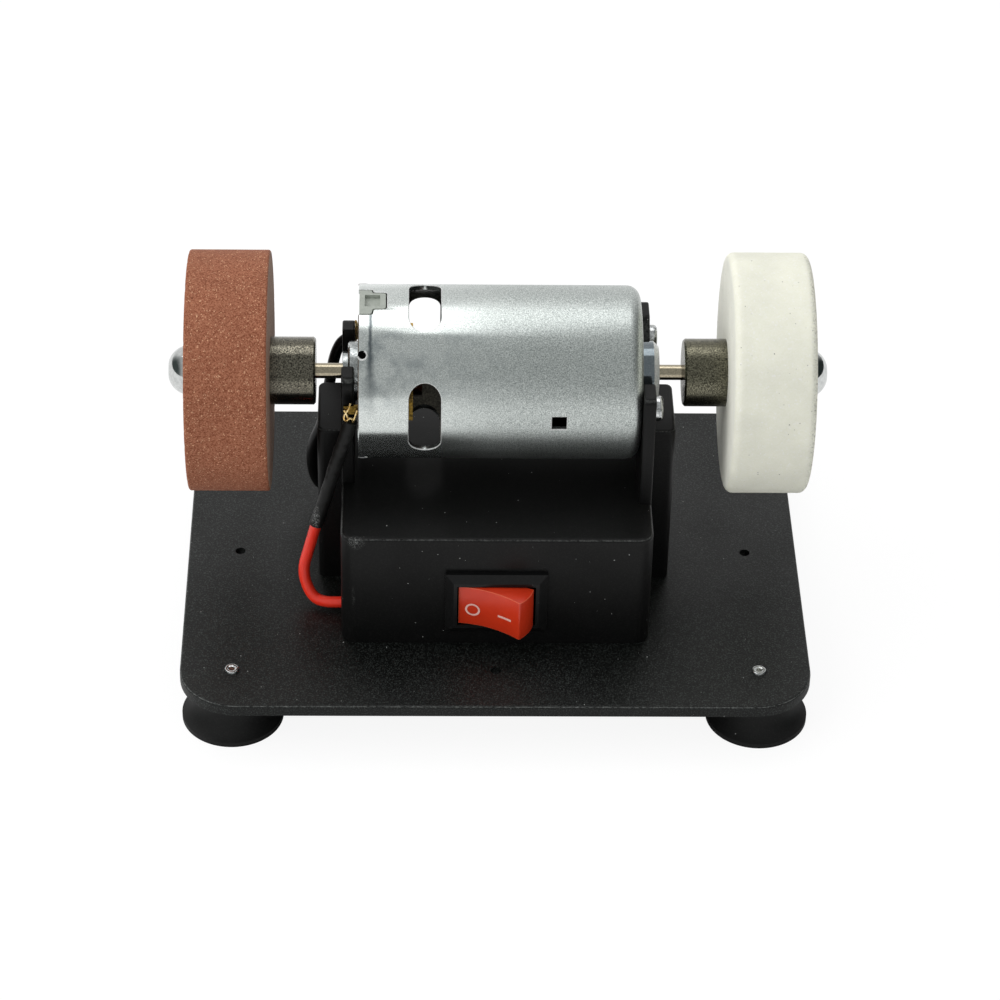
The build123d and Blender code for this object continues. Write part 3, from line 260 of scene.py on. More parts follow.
def rubbed_edge(tree, place, clean, worn, most):
    """Colour of a moulding that is rubbed paler in spots along its sloping upper edges."""
    chamfer_lean = 0.7
    chamfer_spread = 0.15
    rub_size = 0.7 * mm
    lean = add_node(
        tree, "ShaderNodeSeparateXYZ",
        {"Vector": add_node(tree, "ShaderNodeNewGeometry").outputs["Normal"]},
    )
    chamfer = add_node(
        tree, "ShaderNodeMath", {0: lean.outputs["Z"], 1: chamfer_lean, 2: chamfer_spread},
        operation="COMPARE",
    )
    rub = add_node(
        tree, "ShaderNodeTexNoise",
        {"Vector": place, "Scale": 1 / rub_size, "Detail": 8.0, "Roughness": 0.75},
    )
    patch = add_node(
        tree, "ShaderNodeMapRange",
        {"Value": rub.outputs["Fac"], "From Min": 0.4, "From Max": 0.68, "To Max": most},
    )
    share = add_node(
        tree, "ShaderNodeMath", {0: chamfer.outputs[0], 1: patch.outputs["Result"]},
        operation="MULTIPLY",
    )
    mix = add_node(
        tree, "ShaderNodeMixRGB", {"Fac": share.outputs[0], "Color1": clean, "Color2": worn},
    )
    return mix.outputs["Color"]


def black_moulding(name, dark, light, grain, relief, rough, shine, dust_share, rubbed):
    """Black plastic or rubber, glints painted on the crests of its fine grain; sizes in
    millimetres.
    """
    dust_spacing = 1.5
    dust_largest = 0.14
    cloud_size = 14 * mm
    gloss_change = 0.06
    material, tree, shader, place = start_finish(name)
    pebble = add_node(
        tree, "ShaderNodeTexNoise", {"Vector": place, "Scale": 1 / (grain * mm), "Detail": 2.0},
    )
    # The crests of the grain are painted paler: a painted glint.
    crest_glint = add_node(
        tree, "ShaderNodeMapRange",
        {"Value": pebble.outputs["Fac"], "From Min": 0.5, "From Max": 0.74},
    )
    tone = add_node(
        tree, "ShaderNodeMixRGB",
        {"Fac": crest_glint.outputs["Result"], "Color1": colour(dark), "Color2": colour(light)},
    )
    edged = rubbed_edge(tree, place, tone.outputs["Color"], colour("7A7C7A"), rubbed)
    face = specked(
        tree, place, edged, colour("A8AAA8"), dust_spacing, dust_largest, dust_share,
    )
    cloud = add_node(
        tree, "ShaderNodeTexNoise", {"Vector": place, "Scale": 1 / cloud_size, "Detail": 5.0},
    )
    gloss = add_node(
        tree, "ShaderNodeMapRange",
        {"Value": cloud.outputs["Fac"], "From Min": 0.3, "From Max": 0.7,
         "To Min": rough - gloss_change, "To Max": rough + gloss_change},
    )
    bump = add_node(
        tree, "ShaderNodeBump", {"Height": pebble.outputs["Fac"], "Distance": relief * mm},
    )
    plug(tree, shader, {
        "Base Color": face, "Roughness": gloss.outputs["Result"], "Normal": bump.outputs["Normal"],
        "Specular IOR Level": shine,
    })
    return material


def coat(finish, *nodes):
    """Give CAD nodes a finish."""
    for node in nodes:
        mesh = frame["nodes"][node].data
        mesh.materials.clear()
        mesh.materials.append(finish)


plate_finish = black_moulding(
    "pebbled_black_abs", "070807", "383C3A", grain=0.3, relief=0.04, rough=0.46, shine=0.3,
    dust_share=0.4, rubbed=0.8,
)
coat(plate_finish, "base_plate")

# The four suction cups: soft black rubber, moulded in one piece and left smooth, with a dull
# sheen. Each hangs by a neck under the plate, moulded round the flange of its stud.
cup_nodes = (
    "suction_cup_front_left", "suction_cup_front_right", "suction_cup_rear_left",
    "suction_cup_rear_right",
)
cup_finish = black_moulding(
    "smooth_black_rubber", "1A1A1A", "232322", grain=0.3, relief=0.004, rough=0.5, shine=0.2,
    dust_share=0.1, rubbed=0,
)
coat(cup_finish, *cup_nodes)


# The studs of the cups: bright zinc-plated steel, pressed through the plate. The end of each
# was hammered over, so it is a little uneven and glints, with a dimple in the middle.
def mottled_metal(name, dark, light, grain, smooth, rough, relief, metal=1.0):
    """Metal whose tone and gloss change from grain to grain; grain and relief in millimetres."""
    material, tree, shader, place = start_finish(name)
    mottle = add_node(
        tree, "ShaderNodeTexNoise",
        {"Vector": place, "Scale": 1 / (grain * mm), "Detail": 4.0, "Roughness": 0.6},
    )
    spread = add_node(
        tree, "ShaderNodeMapRange",
        {"Value": mottle.outputs["Fac"], "From Min": 0.34, "From Max": 0.66},
    )
    tone = add_node(
        tree, "ShaderNodeMixRGB",
        {"Fac": spread.outputs["Result"], "Color1": colour(dark), "Color2": colour(light)},
    )
    gloss = add_node(
        tree, "ShaderNodeMapRange",
        {"Value": spread.outputs["Result"], "To Min": rough, "To Max": smooth},
    )
    bump = add_node(
        tree, "ShaderNodeBump", {"Height": mottle.outputs["Fac"], "Distance": relief * mm},
    )
    plug(tree, shader, {
        "Base Color": tone.outputs["Color"], "Roughness": gloss.outputs["Result"],
        "Metallic": metal, "Normal": bump.outputs["Normal"],
    })
    return material


def piece_from(shape, name, body, *finishes, crease=40):
    """A new piece made from a bmesh, riding on a body; edges sharper than the crease stay crisp."""
    mesh = bpy.data.meshes.new(name)
    shape.to_mesh(mesh)
    shape.free()
    if "custom_normal" in mesh.attributes:
        mesh.attributes.remove(mesh.attributes["custom_normal"])
    mesh.shade_smooth()
    mesh.set_sharp_from_angle(angle=radians(crease))
    for finish in finishes:
        mesh.materials.append(finish)
    made = bpy.data.objects.new(name, mesh)
    scene.collection.objects.link(made)
    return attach(made, body)


zinc_bright = mottled_metal(
    "bright_zinc_plate", "8E9090", "DADCDC", grain=0.5, smooth=0.12, rough=0.24, relief=0.012,
)
coat(zinc_bright, "suction_cup_studs", "housing_screws")

plate_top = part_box("base_plate")[1].z
stud_radius = 1.45 * mm
stud_flare = 0.1 * mm
stud_end_height = 0.16 * mm
stud_end_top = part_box("suction_cup_studs")[1].z + stud_end_height
stud_end_edge = 0.25 * mm
stud_rim = 0.35 * mm
stud_dimple_slope = 0.3 * mm
stud_dimple = 0.22 * mm
stud_unevenness = 0.05 * mm
stud_wave = 1.2 * mm
stud_seed = 7
stud_ends = bmesh.new()
for cup in cup_nodes:
    low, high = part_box(cup)
    centre = Vector(((low.x + high.x) / 2, (low.y + high.y) / 2, (plate_top + stud_end_top) / 2))
    bmesh.ops.create_cone(
        stud_ends, cap_ends=True, segments=40, radius1=stud_radius + stud_flare,
        radius2=stud_radius, depth=stud_end_top - plate_top, matrix=Matrix.Translation(centre),
    )
crowns = [face for face in stud_ends.faces if face.normal.z > 0.9]
crown_edges = [edge for face in crowns for edge in face.edges]
bmesh.ops.bevel(
    stud_ends, geom=crown_edges, offset=stud_end_edge, affect="EDGES", segments=3, profile=0.5,
    material=-1,
)
stud_ends.normal_update()
crowns = [face for face in stud_ends.faces if face.normal.z > 0.999]
bmesh.ops.inset_individual(stud_ends, faces=crowns, thickness=stud_rim, depth=0)
bmesh.ops.inset_individual(
    stud_ends, faces=crowns, thickness=stud_dimple_slope, depth=-stud_dimple,
)
noise.seed_set(stud_seed)
for vert in stud_ends.verts:
    vert.co += noise.noise_vector(vert.co / stud_wave) * stud_unevenness
bmesh.ops.recalc_face_normals(stud_ends, faces=stud_ends.faces)
piece_from(stud_ends, "stud_ends", "base", zinc_bright)


# The motor housing: one black ABS moulding with a fine satin grain, screwed to the plate from
# below. Its cheeks and posts hold the motor by both ends. One front corner is scuffed grey.
def scuff(finish, mark, most, centre, reach):
    """Scratch a finish in a patch, with its centre and its reach along X, Y, Z in millimetres."""
    scratch_size = 0.5 * mm
    tree = finish.node_tree
    shader = tree.nodes["Principled BSDF"]
    clean = shader.inputs["Base Color"].links[0].from_socket
    place = tree.nodes["Texture Coordinate"].outputs["Object"]
    off = add_node(
        tree, "ShaderNodeVectorMath", {0: place, 1: Vector(centre) * mm}, operation="SUBTRACT",
    )
    scaled = add_node(
        tree, "ShaderNodeVectorMath", {0: off.outputs["Vector"], 1: Vector(reach) * mm},
        operation="DIVIDE",
    )
    away = add_node(
        tree, "ShaderNodeVectorMath", {0: scaled.outputs["Vector"]}, operation="LENGTH",
    )
    near = add_node(
        tree, "ShaderNodeMapRange",
        {"Value": away.outputs["Value"], "From Min": 0.2, "From Max": 1.0, "To Min": most,
         "To Max": 0.0},
    )
    hair = add_node(
        tree, "ShaderNodeTexNoise",
        {"Vector": place, "Scale": 1 / scratch_size, "Detail": 6.0, "Roughness": 0.8,
         "Distortion": 1.5},
    )
    lines = add_node(
        tree, "ShaderNodeMapRange",
        {"Value": hair.outputs["Fac"], "From Min": 0.5, "From Max": 0.62},
    )
    share = add_node(
        tree, "ShaderNodeMath", {0: near.outputs["Result"], 1: lines.outputs["Result"]},
        operation="MULTIPLY",
    )
    mix = add_node(
        tree, "ShaderNodeMixRGB",
        {"Fac": share.outputs[0], "Color1": clean, "Color2": colour(mark)},
    )
    plug(tree, shader, {"Base Color": mix.outputs["Color"]})


housing_finish = black_moulding(
    "satin_black_abs", "0E0E0E", "1A1A19", grain=0.3, relief=0.008, rough=0.42, shine=0.18,
    dust_share=0.5, rubbed=0.45,
)
scuff(housing_finish, "8A8C8A", most=0.8, centre=(-28.9, -30.2, 38.4), reach=(2.2, 1.6, 2.0))
scuff(housing_finish, "6A6C6A", most=0.6, centre=(-29.4, -30.2, 24.0), reach=(0.5, 0.6, 3.0))
coat(housing_finish, "motor_housing")


# The motor can: deep-drawn steel in dull zinc, polished at its rear end and frosted at the front
# by fine crystals, which are drawn coarse enough to show. Cut edges are bare and bright. The face
# of the nose takes the same pale steel as a painted highlight, and the rest of the nose is painted
# darker as a painted reflection. A crease runs down from a notch, drawn as a line of painted shade.
def drawn_zinc(name, axle_z, rear, nose_start):
    """Zinc in fine crystals, brighter and stained at the rear, and polished on the nose.
    A line of painted shade marks the crease, and the nose is painted dark as a painted reflection.
    """
    crystal_size = 0.22 * mm
    crystal_relief = 0.006 * mm
    brightest_until = rear + 3 * mm
    satin_until = rear + 9 * mm
    frosted_from = rear + 27 * mm
    plain_from = rear + 34 * mm
    stain_size = 4 * mm
    stain_foot = axle_z + 2 * mm
    stain_full = axle_z + 7 * mm
    stain_top = axle_z + 15.4 * mm
    sheen_start = axle_z + 16.3 * mm
    crease_line = rear + 2.85 * mm
    crease_wave = 1.2 * mm
    crease_wander = 0.7 * mm
    crease_core = 0.1 * mm
    crease_foot = axle_z + 1 * mm
    crease_widest_at = axle_z + 8 * mm
    crease_full = axle_z + 12 * mm
    crease_narrowest_at = axle_z + 15 * mm
    crease_widest = 1.5 * mm
    crease_narrowest = 0.5 * mm
    crease_rear_limit = -4 * mm
    speck_spacing = 1.8
    speck_largest = 0.12
    speck_share = 0.3
    material, tree, shader, place = start_finish(name)
    spot = add_node(tree, "ShaderNodeSeparateXYZ", {"Vector": place})
    crystals = add_node(
        tree, "ShaderNodeTexNoise",
        {"Vector": place, "Scale": 1 / crystal_size, "Detail": 4.0, "Roughness": 0.65},
    )
    spread = add_node(
        tree, "ShaderNodeMapRange",
        {"Value": crystals.outputs["Fac"], "From Min": 0.38, "From Max": 0.62},
    )
    near_rear = add_node(
        tree, "ShaderNodeMapRange",
        {"Value": spot.outputs["X"], "From Min": plain_from, "From Max": brightest_until,
         "To Max": 0.45},
    )
    frosted = add_node(
        tree, "ShaderNodeMixRGB",
        {"Fac": spread.outputs["Result"], "Color1": colour("8E9593"), "Color2": colour("DBE0DD")},
    )
    tone = add_node(
        tree, "ShaderNodeMixRGB",
        {"Fac": near_rear.outputs["Result"], "Color1": frosted.outputs["Color"],
         "Color2": colour("EAEFEC")},
    )
    clouds = add_node(
        tree, "ShaderNodeTexNoise",
        {"Vector": place, "Scale": 1 / stain_size, "Detail": 7.0, "Roughness": 0.65},
    )
    patch = add_node(
        tree, "ShaderNodeMapRange",
        {"Value": clouds.outputs["Fac"], "From Min": 0.44, "From Max": 0.66, "To Max": 1.1},
    )
    below_sheen = add_node(
        tree, "ShaderNodeMapRange",
        {"Value": spot.outputs["Z"], "From Min": stain_top, "From Max": sheen_start,
         "To Min": 1.0, "To Max": 0.0},
    )
    above_middle = add_node(
        tree, "ShaderNodeMapRange",
        {"Value": spot.outputs["Z"], "From Min": stain_foot, "From Max": stain_full,
         "To Min": 0.1},
    )
    zone = add_node(
        tree, "ShaderNodeMath",
        {0: below_sheen.outputs["Result"], 1: above_middle.outputs["Result"]},
        operation="MULTIPLY",
    )
    reach = add_node(
        tree, "ShaderNodeMath", {0: zone.outputs[0], 1: near_rear.outputs["Result"]},
        operation="MULTIPLY",
    )
    stain = add_node(
        tree, "ShaderNodeMath", {0: patch.outputs["Result"], 1: reach.outputs[0]},
        operation="MULTIPLY",
    )
    stained = add_node(
        tree, "ShaderNodeMixRGB",
        {"Fac": stain.outputs[0], "Color1": tone.outputs["Color"], "Color2": colour("5C6A72")},
    )
    # A dark line down the crease from the notch: painted shade where the groove lies in shadow.
    wander = add_node(
        tree, "ShaderNodeTexNoise", {"Vector": place, "Scale": 1 / crease_wave, "Detail": 3.0},
    )
    bent = add_node(
        tree, "ShaderNodeMath",
        {0: wander.outputs["Fac"], 1: crease_wander, 2: spot.outputs["X"]},
        operation="MULTIPLY_ADD",
    )
    from_line = add_node(
        tree, "ShaderNodeMath", {0: bent.outputs[0], 1: crease_line}, operation="SUBTRACT",
    )
    aside = add_node(tree, "ShaderNodeMath", {0: from_line.outputs[0]}, operation="ABSOLUTE")
    crease_width = add_node(
        tree, "ShaderNodeMapRange",
        {"Value": spot.outputs["Z"], "From Min": crease_widest_at,
         "From Max": crease_narrowest_at, "To Min": crease_widest, "To Max": crease_narrowest},
    )
    crease = add_node(
        tree, "ShaderNodeMapRange",
        {"Value": aside.outputs[0], "From Min": crease_core,
         "From Max": crease_width.outputs["Result"], "To Min": 1.0, "To Max": 0.0},
    )
    fade = add_node(
        tree, "ShaderNodeMapRange",
        {"Value": spot.outputs["Z"], "From Min": crease_foot, "From Max": crease_full,
         "To Max": 0.85},
    )
    in_front = add_node(
        tree, "ShaderNodeMath", {0: spot.outputs["Y"], 1: crease_rear_limit},
        operation="LESS_THAN",
    )
    side = add_node(
        tree, "ShaderNodeMath", {0: fade.outputs["Result"], 1: in_front.outputs[0]},
        operation="MULTIPLY",
    )
    fold = add_node(
        tree, "ShaderNodeMath", {0: crease.outputs["Result"], 1: side.outputs[0]},
        operation="MULTIPLY",
    )
    crease_shaded = add_node(
        tree, "ShaderNodeMixRGB",
        {"Fac": fold.outputs[0], "Color1": stained.outputs["Color"], "Color2": colour("4A545A")},
    )
    # The nose is painted a darker blue-grey: a painted reflection of the dark side of the room.
    nose = add_node(
        tree, "ShaderNodeMath", {0: spot.outputs["X"], 1: nose_start}, operation="GREATER_THAN",
    )
    nose_reflection_share = add_node(tree, "ShaderNodeMath", {0: nose.outputs[0], 1: 0.78}, operation="MULTIPLY")
    nose_painted_reflection = add_node(
        tree, "ShaderNodeMixRGB",
        {"Fac": nose_reflection_share.outputs[0], "Color1": crease_shaded.outputs["Color"], "Color2": colour("525E68")},
    )
    face = specked(
        tree, place, nose_painted_reflection.outputs["Color"], colour("5A5A56"), speck_spacing, speck_largest,
        speck_share,
    )
    frost = add_node(
        tree, "ShaderNodeMapRange",
        {"Value": spot.outputs["X"], "From Min": satin_until, "From Max": frosted_from,
         "To Min": 0.17, "To Max": 0.4},
    )
    gloss = add_node(
        tree, "ShaderNodeMath", {0: nose.outputs[0], 1: -0.32, 2: frost.outputs["Result"]},
        operation="MULTIPLY_ADD",
    )
    bump = add_node(
        tree, "ShaderNodeBump", {"Height": crystals.outputs["Fac"], "Distance": crystal_relief},
    )
    plug(tree, shader, {
        "Base Color": face, "Roughness": gloss.outputs[0], "Metallic": 0.94,
        "Normal": bump.outputs["Normal"],
    })
    return material


def merged_copy(node):
    """A bmesh of a CAD node with its loose triangles joined."""
    shape = bmesh.new()
    shape.from_mesh(frame["nodes"][node].data)
    bmesh.ops.remove_doubles(shape, verts=shape.verts, dist=join_distance)
    return shape


join_distance = 0.002 * mm
can_low, can_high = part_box("motor_can")
axle_z = (can_low.z + can_high.z) / 2
can_radius = (can_high.z - can_low.z) / 2
front_round_length = 8 * mm
can_front_end = can_high.x - front_round_length
cut_edge_depth = 0.24 * mm
cut_edge_turn = radians(14)
rim_width = 0.4 * mm
nose_face_depth = 1.0 * mm
nose_length = 3.7 * mm
can_finish = drawn_zinc("dull_zinc_plate", axle_z, can_low.x, can_high.x - nose_length)
# Pale steel: bare on the cut edges, and a painted highlight on the face of the nose.
bare_steel_and_highlight = mottled_metal(
    "bare_cut_steel_and_highlight", "C8CAC8", "F0F1F0", grain=0.4, smooth=0.3, rough=0.45, relief=0.004,
    metal=0.4,
)
# The inside of the can: its steel is painted dark as painted shade, since little light gets in.
inner_shade_steel = mottled_metal(
    "dark_steel_painted_shade", "45443E", "6E6B62", grain=0.4, smooth=0.3, rough=0.5, relief=0.004,
)
can_shape = merged_copy("motor_can")
for face in can_shape.faces:
    middle = face.calc_center_median()
    outward = Vector((0, middle.y, middle.z - axle_z))
    past_rim = can_low.x + rim_width < middle.x < can_front_end
    at_wall = past_rim and outward.length > can_radius - cut_edge_depth
    faces_in = outward.dot(face.normal) < -0.5 * outward.length
    # Faces that look into the can take the painted shade.
    if faces_in:
        face.material_index = 2
    elif at_wall and outward.angle(face.normal) > cut_edge_turn:
        face.material_index = 1
    # The face of the nose takes the pale steel as a painted highlight.
    elif middle.x > can_high.x - nose_face_depth and face.normal.x > 0.5:
        face.material_index = 1
can = piece_from(can_shape, "zinc_motor_can", "base", can_finish, bare_steel_and_highlight, inner_shade_steel, crease=18)
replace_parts(can, "motor_can")

# The stakes that lock the end cap: punch marks near the rear rim. The wall is pushed in, which
# leaves a pit, painted near black as painted shade, with a raised bright lip round its front,
# thinner on the underside.
# The pit is painted near black: painted shade in the punched recess.
pit_shade_finish = mottled_metal(
    "pit_painted_shade", "080808", "0E0E0E", grain=0.4, smooth=0.4, rough=0.6, relief=0.004,
)
stake_radius = 0.95 * mm
stake_from_rear = 0.9 * mm
pit_below_surface = 0.12 * mm
upper_lip = 0.2 * mm
lower_lip = 0.08 * mm
lip_reach = radians(230)
stakes = bmesh.new()
for turn_up, lip_thickness in (
    (46, upper_lip), (134, upper_lip), (226, lower_lip), (314, lower_lip),
):
    pit = bmesh.ops.create_circle(
        stakes, cap_ends=True, segments=24, radius=stake_radius,
        matrix=Matrix.Translation((0, 0, -pit_below_surface)),
    )["verts"]
    ring = bmesh.ops.create_circle(
        stakes, segments=10, radius=lip_thickness,
        matrix=Matrix.Translation((0, stake_radius, 0)) @ Matrix.Rotation(pi / 2, 4, "Y"),
    )["verts"]
    ring_edges = list(dict.fromkeys(edge for vert in ring for edge in vert.link_edges))
    bmesh.ops.rotate(
        stakes, cent=(0, 0, 0), matrix=Matrix.Rotation((pi - lip_reach) / 2, 3, "Z"), verts=ring,
    )
    earlier = set(stakes.faces)
    bmesh.ops.spin(
        stakes, geom=ring + ring_edges, cent=(0, 0, 0), axis=(0, 0, 1), angle=-lip_reach, steps=24,
        use_duplicate=False,
    )
    lip_faces = [face for face in stakes.faces if face not in earlier]
    lip = list(dict.fromkeys(vert for face in lip_faces for vert in face.verts))
    for face in lip_faces:
        face.material_index = 1
    stand = Matrix.Translation((can_low.x + stake_from_rear, 0, axle_z))
    lean = Matrix.Rotation(radians(90 - turn_up), 4, "X")
    outwards = lean @ Matrix.Translation((0, 0, can_radius))
    bmesh.ops.transform(stakes, matrix=stand @ outwards, verts=pit + lip)
bmesh.ops.holes_fill(stakes, edges=[e for e in stakes.edges if e.is_boundary], sides=12)
bmesh.ops.recalc_face_normals(stakes, faces=stakes.faces)
piece_from(stakes, "cap_stakes", "base", pit_shade_finish, bare_steel_and_highlight)

# The magnets behind the vents: pressed ferrite, dark grey and rough.
# They are glued to the inside of the can.
ferrite = mottled_metal(
    "pressed_ferrite", "141416", "1E1E20", grain=0.6, smooth=0.55, rough=0.7, relief=0.01,
)
coat(ferrite, "upper_magnet", "lower_magnet")


# The end cap: glass-filled nylon, grey-green and matt, moulded with the pocketed lug that keys
# into the can. It closes the rear of the motor and carries the brush gear.
def plain_moulding(name, dark, light, grain, rough, relief, shine=0.5):
    """Plastic of one colour with a faint change of tone; grain and relief in millimetres."""
    material, tree, shader, place = start_finish(name)
    grit = add_node(
        tree, "ShaderNodeTexNoise", {"Vector": place, "Scale": 1 / (grain * mm), "Detail": 4.0},
    )
    tone = add_node(
        tree, "ShaderNodeMixRGB",
        {"Fac": grit.outputs["Fac"], "Color1": colour(dark), "Color2": colour(light)},
    )
    bump = add_node(
        tree, "ShaderNodeBump", {"Height": grit.outputs["Fac"], "Distance": relief * mm},
    )
    plug(tree, shader, {
        "Base Color": tone.outputs["Color"], "Roughness": rough, "Normal": bump.outputs["Normal"],
        "Specular IOR Level": shine,
    })
    return material


cap_finish = plain_moulding(
    "grey_green_nylon", "989E95", "B4B9B0", grain=0.8, rough=0.45, relief=0.01,
)
coat(cap_finish, "end_cap")

# The rear bearing holder: a pressed steel cup with the same dull zinc as the can.
# The sintered bronze bearings sit in it and in the nose of the can.
holder_finish = mottled_metal(
    "pressed_zinc_plate", "8A8F90", "CDD1D0", grain=0.5, smooth=0.18, rough=0.3, relief=0.02,
)
coat(holder_finish, "rear_bearing_holder")
bronze = mottled_metal(
    "sintered_bronze", "7A5A34", "A8824F", grain=0.3, smooth=0.4, rough=0.55, relief=0.01,
)
coat(bronze, "rear_bearing", "front_bearing")

# The brush gear: terminals stamped from brass, the front one painted darker as painted shade,
# with carbon brushes and leaf springs of bronze. The brushes ride on the commutator inside the can.
brass = mottled_metal(
    "stamped_brass", "9A7428", "E2BC62", grain=0.5, smooth=0.1, rough=0.24, relief=0.01,
)
coat(brass, "brush_terminal_rear")
# The front terminal's brass is painted dark: painted shade.
shaded_brass = mottled_metal(
    "brass_painted_shade", "3C3014", "7A622C", grain=0.5, smooth=0.1, rough=0.24, relief=0.01,
)
coat(shaded_brass, "brush_terminal_front")
carbon = plain_moulding("pressed_carbon", "101011", "18181A", grain=0.3, rough=0.6, relief=0.01)
coat(carbon, "carbon_brush_front", "carbon_brush_rear")
spring_bronze = mottled_metal(
    "spring_bronze", "9A7A4A", "C09A62", grain=0.5, smooth=0.2, rough=0.3, relief=0.004,
)
coat(spring_bronze, "brush_springs")

# The motor screws: steel pan heads with a cross recess, plated in bright zinc.
# They go through the right cheek and hold the front of the can against it.
coat(zinc_bright, "motor_screws")

# The shaft: steel rod, ground and polished, so it mirrors its surroundings in long lines.
# It is pressed through the armature and comes out at both ends of the motor.
shaft_finish = mottled_metal(
    "polished_steel", "8E8674", "B6AC96", grain=0.25, smooth=0.06, rough=0.13, relief=0.002,
)
coat(shaft_finish, "motor_shaft")

# The armature: laminated silicon steel, wound with enamelled copper, with a copper commutator.
# It turns inside the magnets and can just be made out through the vents.
# The core and the copper are painted darker than their own colour, as painted shade inside the can.
lamination = mottled_metal(
    "varnished_laminations_painted_shade", "3A3832", "58544A", grain=0.35, smooth=0.35, rough=0.5, relief=0.01,
)
coat(lamination, "armature_core")
copper = mottled_metal(
    "enamelled_copper_painted_shade", "3A1C0E", "5E301A", grain=0.35, smooth=0.25, rough=0.4, relief=0.03,
)
coat(copper, "armature_windings", "commutator")

# The arbors: turned steel with a dark phosphate coat that is rough and catches the light in
# specks, worn paler on the right one. A grub screw clamps each one on the shaft.
left_arbor_finish = mottled_metal(
    "dark_phosphate_steel", "0C0B09", "8A8678", grain=0.28, smooth=0.1, rough=0.26, relief=0.02,
)
right_arbor_finish = mottled_metal(
    "pale_phosphate_steel", "2A2923", "84816F", grain=0.28, smooth=0.2, rough=0.38, relief=0.018,
)
coat(left_arbor_finish, "left_arbor")
coat(right_arbor_finish, "right_arbor")
grub_finish = mottled_metal(
    "black_oxide_steel", "26262A", "3A3A3E", grain=0.3, smooth=0.3, rough=0.45, relief=0.004,
)
coat(grub_finish, "arbor_grub_screws")


# The grinding wheels: alumina grit in a fired clay bond, pressed in a mould and trued on the
# rim. The left one is brown, the right one white, and their edges have lost a few grains.
def gritty_bond(name, dark, light, painted_glint, painted_glint_share, pore, pore_share, grit, relief):
    """Fired abrasive: each grain has its own tone, a few carry a painted glint, and pores are
    scattered.
    """
    cloud_size = 7 * mm
    pore_spacing = 1.1
    pore_largest = 0.16
    material, tree, shader, place = start_finish(name)
    grains = add_node(
        tree, "ShaderNodeTexVoronoi", {"Vector": place, "Scale": 1 / (grit * mm)},
    )
    own = add_node(tree, "ShaderNodeSeparateColor", {"Color": grains.outputs["Color"]})
    tone = add_node(
        tree, "ShaderNodeMixRGB",
        {"Fac": own.outputs["Red"], "Color1": colour(dark), "Color2": colour(light)},
    )
    # A few grains are painted bright: a painted glint.
    bright = add_node(
        tree, "ShaderNodeMapRange",
        {"Value": own.outputs["Green"], "From Min": 1 - painted_glint_share, "From Max": 1.0},
    )
    lit = add_node(
        tree, "ShaderNodeMixRGB",
        {"Fac": bright.outputs["Result"], "Color1": tone.outputs["Color"], "Color2": colour(painted_glint)},
    )
    cloud = add_node(
        tree, "ShaderNodeTexNoise", {"Vector": place, "Scale": 1 / cloud_size, "Detail": 3.0},
    )
    shade = add_node(
        tree, "ShaderNodeMapRange",
        {"Value": cloud.outputs["Fac"], "From Min": 0.3, "From Max": 0.7, "To Min": 0.94,
         "To Max": 1.03},
    )
    clouded = add_node(
        tree, "ShaderNodeVectorMath",
        {0: lit.outputs["Color"], "Scale": shade.outputs["Result"]}, operation="SCALE",
    )
    face = specked(
        tree, place, clouded.outputs["Vector"], colour(pore), pore_spacing, pore_largest,
        pore_share,
    )
    bump = add_node(
        tree, "ShaderNodeBump",
        {"Height": grains.outputs["Distance"], "Distance": relief * mm}, invert=True,
    )
    plug(tree, shader, {
        "Base Color": face, "Roughness": 0.8, "Normal": bump.outputs["Normal"],
        "Specular IOR Level": 0.2,
    })
    return material


def grinding_wheel(name, node, rim_finish, side_finish, edge_round, chip_depth, chip_reach, seed):
    """A wheel in the place of a CAD node, with chipped rims."""
    bore_radius = 5.0 * mm
    shortest_split = 2 * mm
    seam_gap = 0.005 * mm
    coarse_break = 1.6
    fine_break = 0.6
    fine_share = 0.7
    whole_share = 0.25
    low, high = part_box(node)
    radius = (high.z - low.z) / 2
    shape = bmesh.new()
    corners = [
        shape.verts.new((x, 0, axle_z + r)) for x, r in (
            (low.x, bore_radius), (low.x, radius), (high.x, radius), (high.x, bore_radius),
        )
    ]
    shape.faces.new(corners)
    bmesh.ops.bevel(
        shape, geom=corners[1:3], offset=edge_round, affect="VERTICES", segments=6, profile=0.5,
        material=-1,
    )
    bmesh.ops.delete(shape, geom=list(shape.faces), context="FACES_ONLY")
    long_edges = [edge for edge in shape.edges if edge.calc_length() > shortest_split]
    bmesh.ops.subdivide_edges(shape, edges=long_edges, cuts=24, use_grid_fill=False)
    bmesh.ops.spin(
        shape, geom=list(shape.verts) + list(shape.edges), cent=(0, 0, axle_z), axis=(1, 0, 0),
        angle=2 * pi, steps=400, use_merge=True, use_duplicate=False,
    )
    bmesh.ops.remove_doubles(shape, verts=shape.verts, dist=seam_gap)
    bmesh.ops.recalc_face_normals(shape, faces=shape.faces)
    shape.normal_update()
    for face in shape.faces:
        face.material_index = 1 if abs(face.normal.x) > 0.97 else 0
    shift = Vector((seed, 0, 0))
    for vert in shape.verts:
        out = Vector((0, vert.co.y, vert.co.z - axle_z)).length
        from_rim = min(
            Vector((vert.co.x - x, out - radius)).length for x in (low.x, high.x)
        )
        share = max(0, 1 - from_rim / chip_reach)
        spot = vert.co / mm
        broken = noise.noise(spot / coarse_break + shift)
        broken += fine_share * noise.noise(spot / fine_break + shift)
        vert.co -= vert.normal * chip_depth * share * max(0, broken - whole_share)
    made = piece_from(shape, name, "rotor", rim_finish, side_finish)
    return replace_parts(made, node)


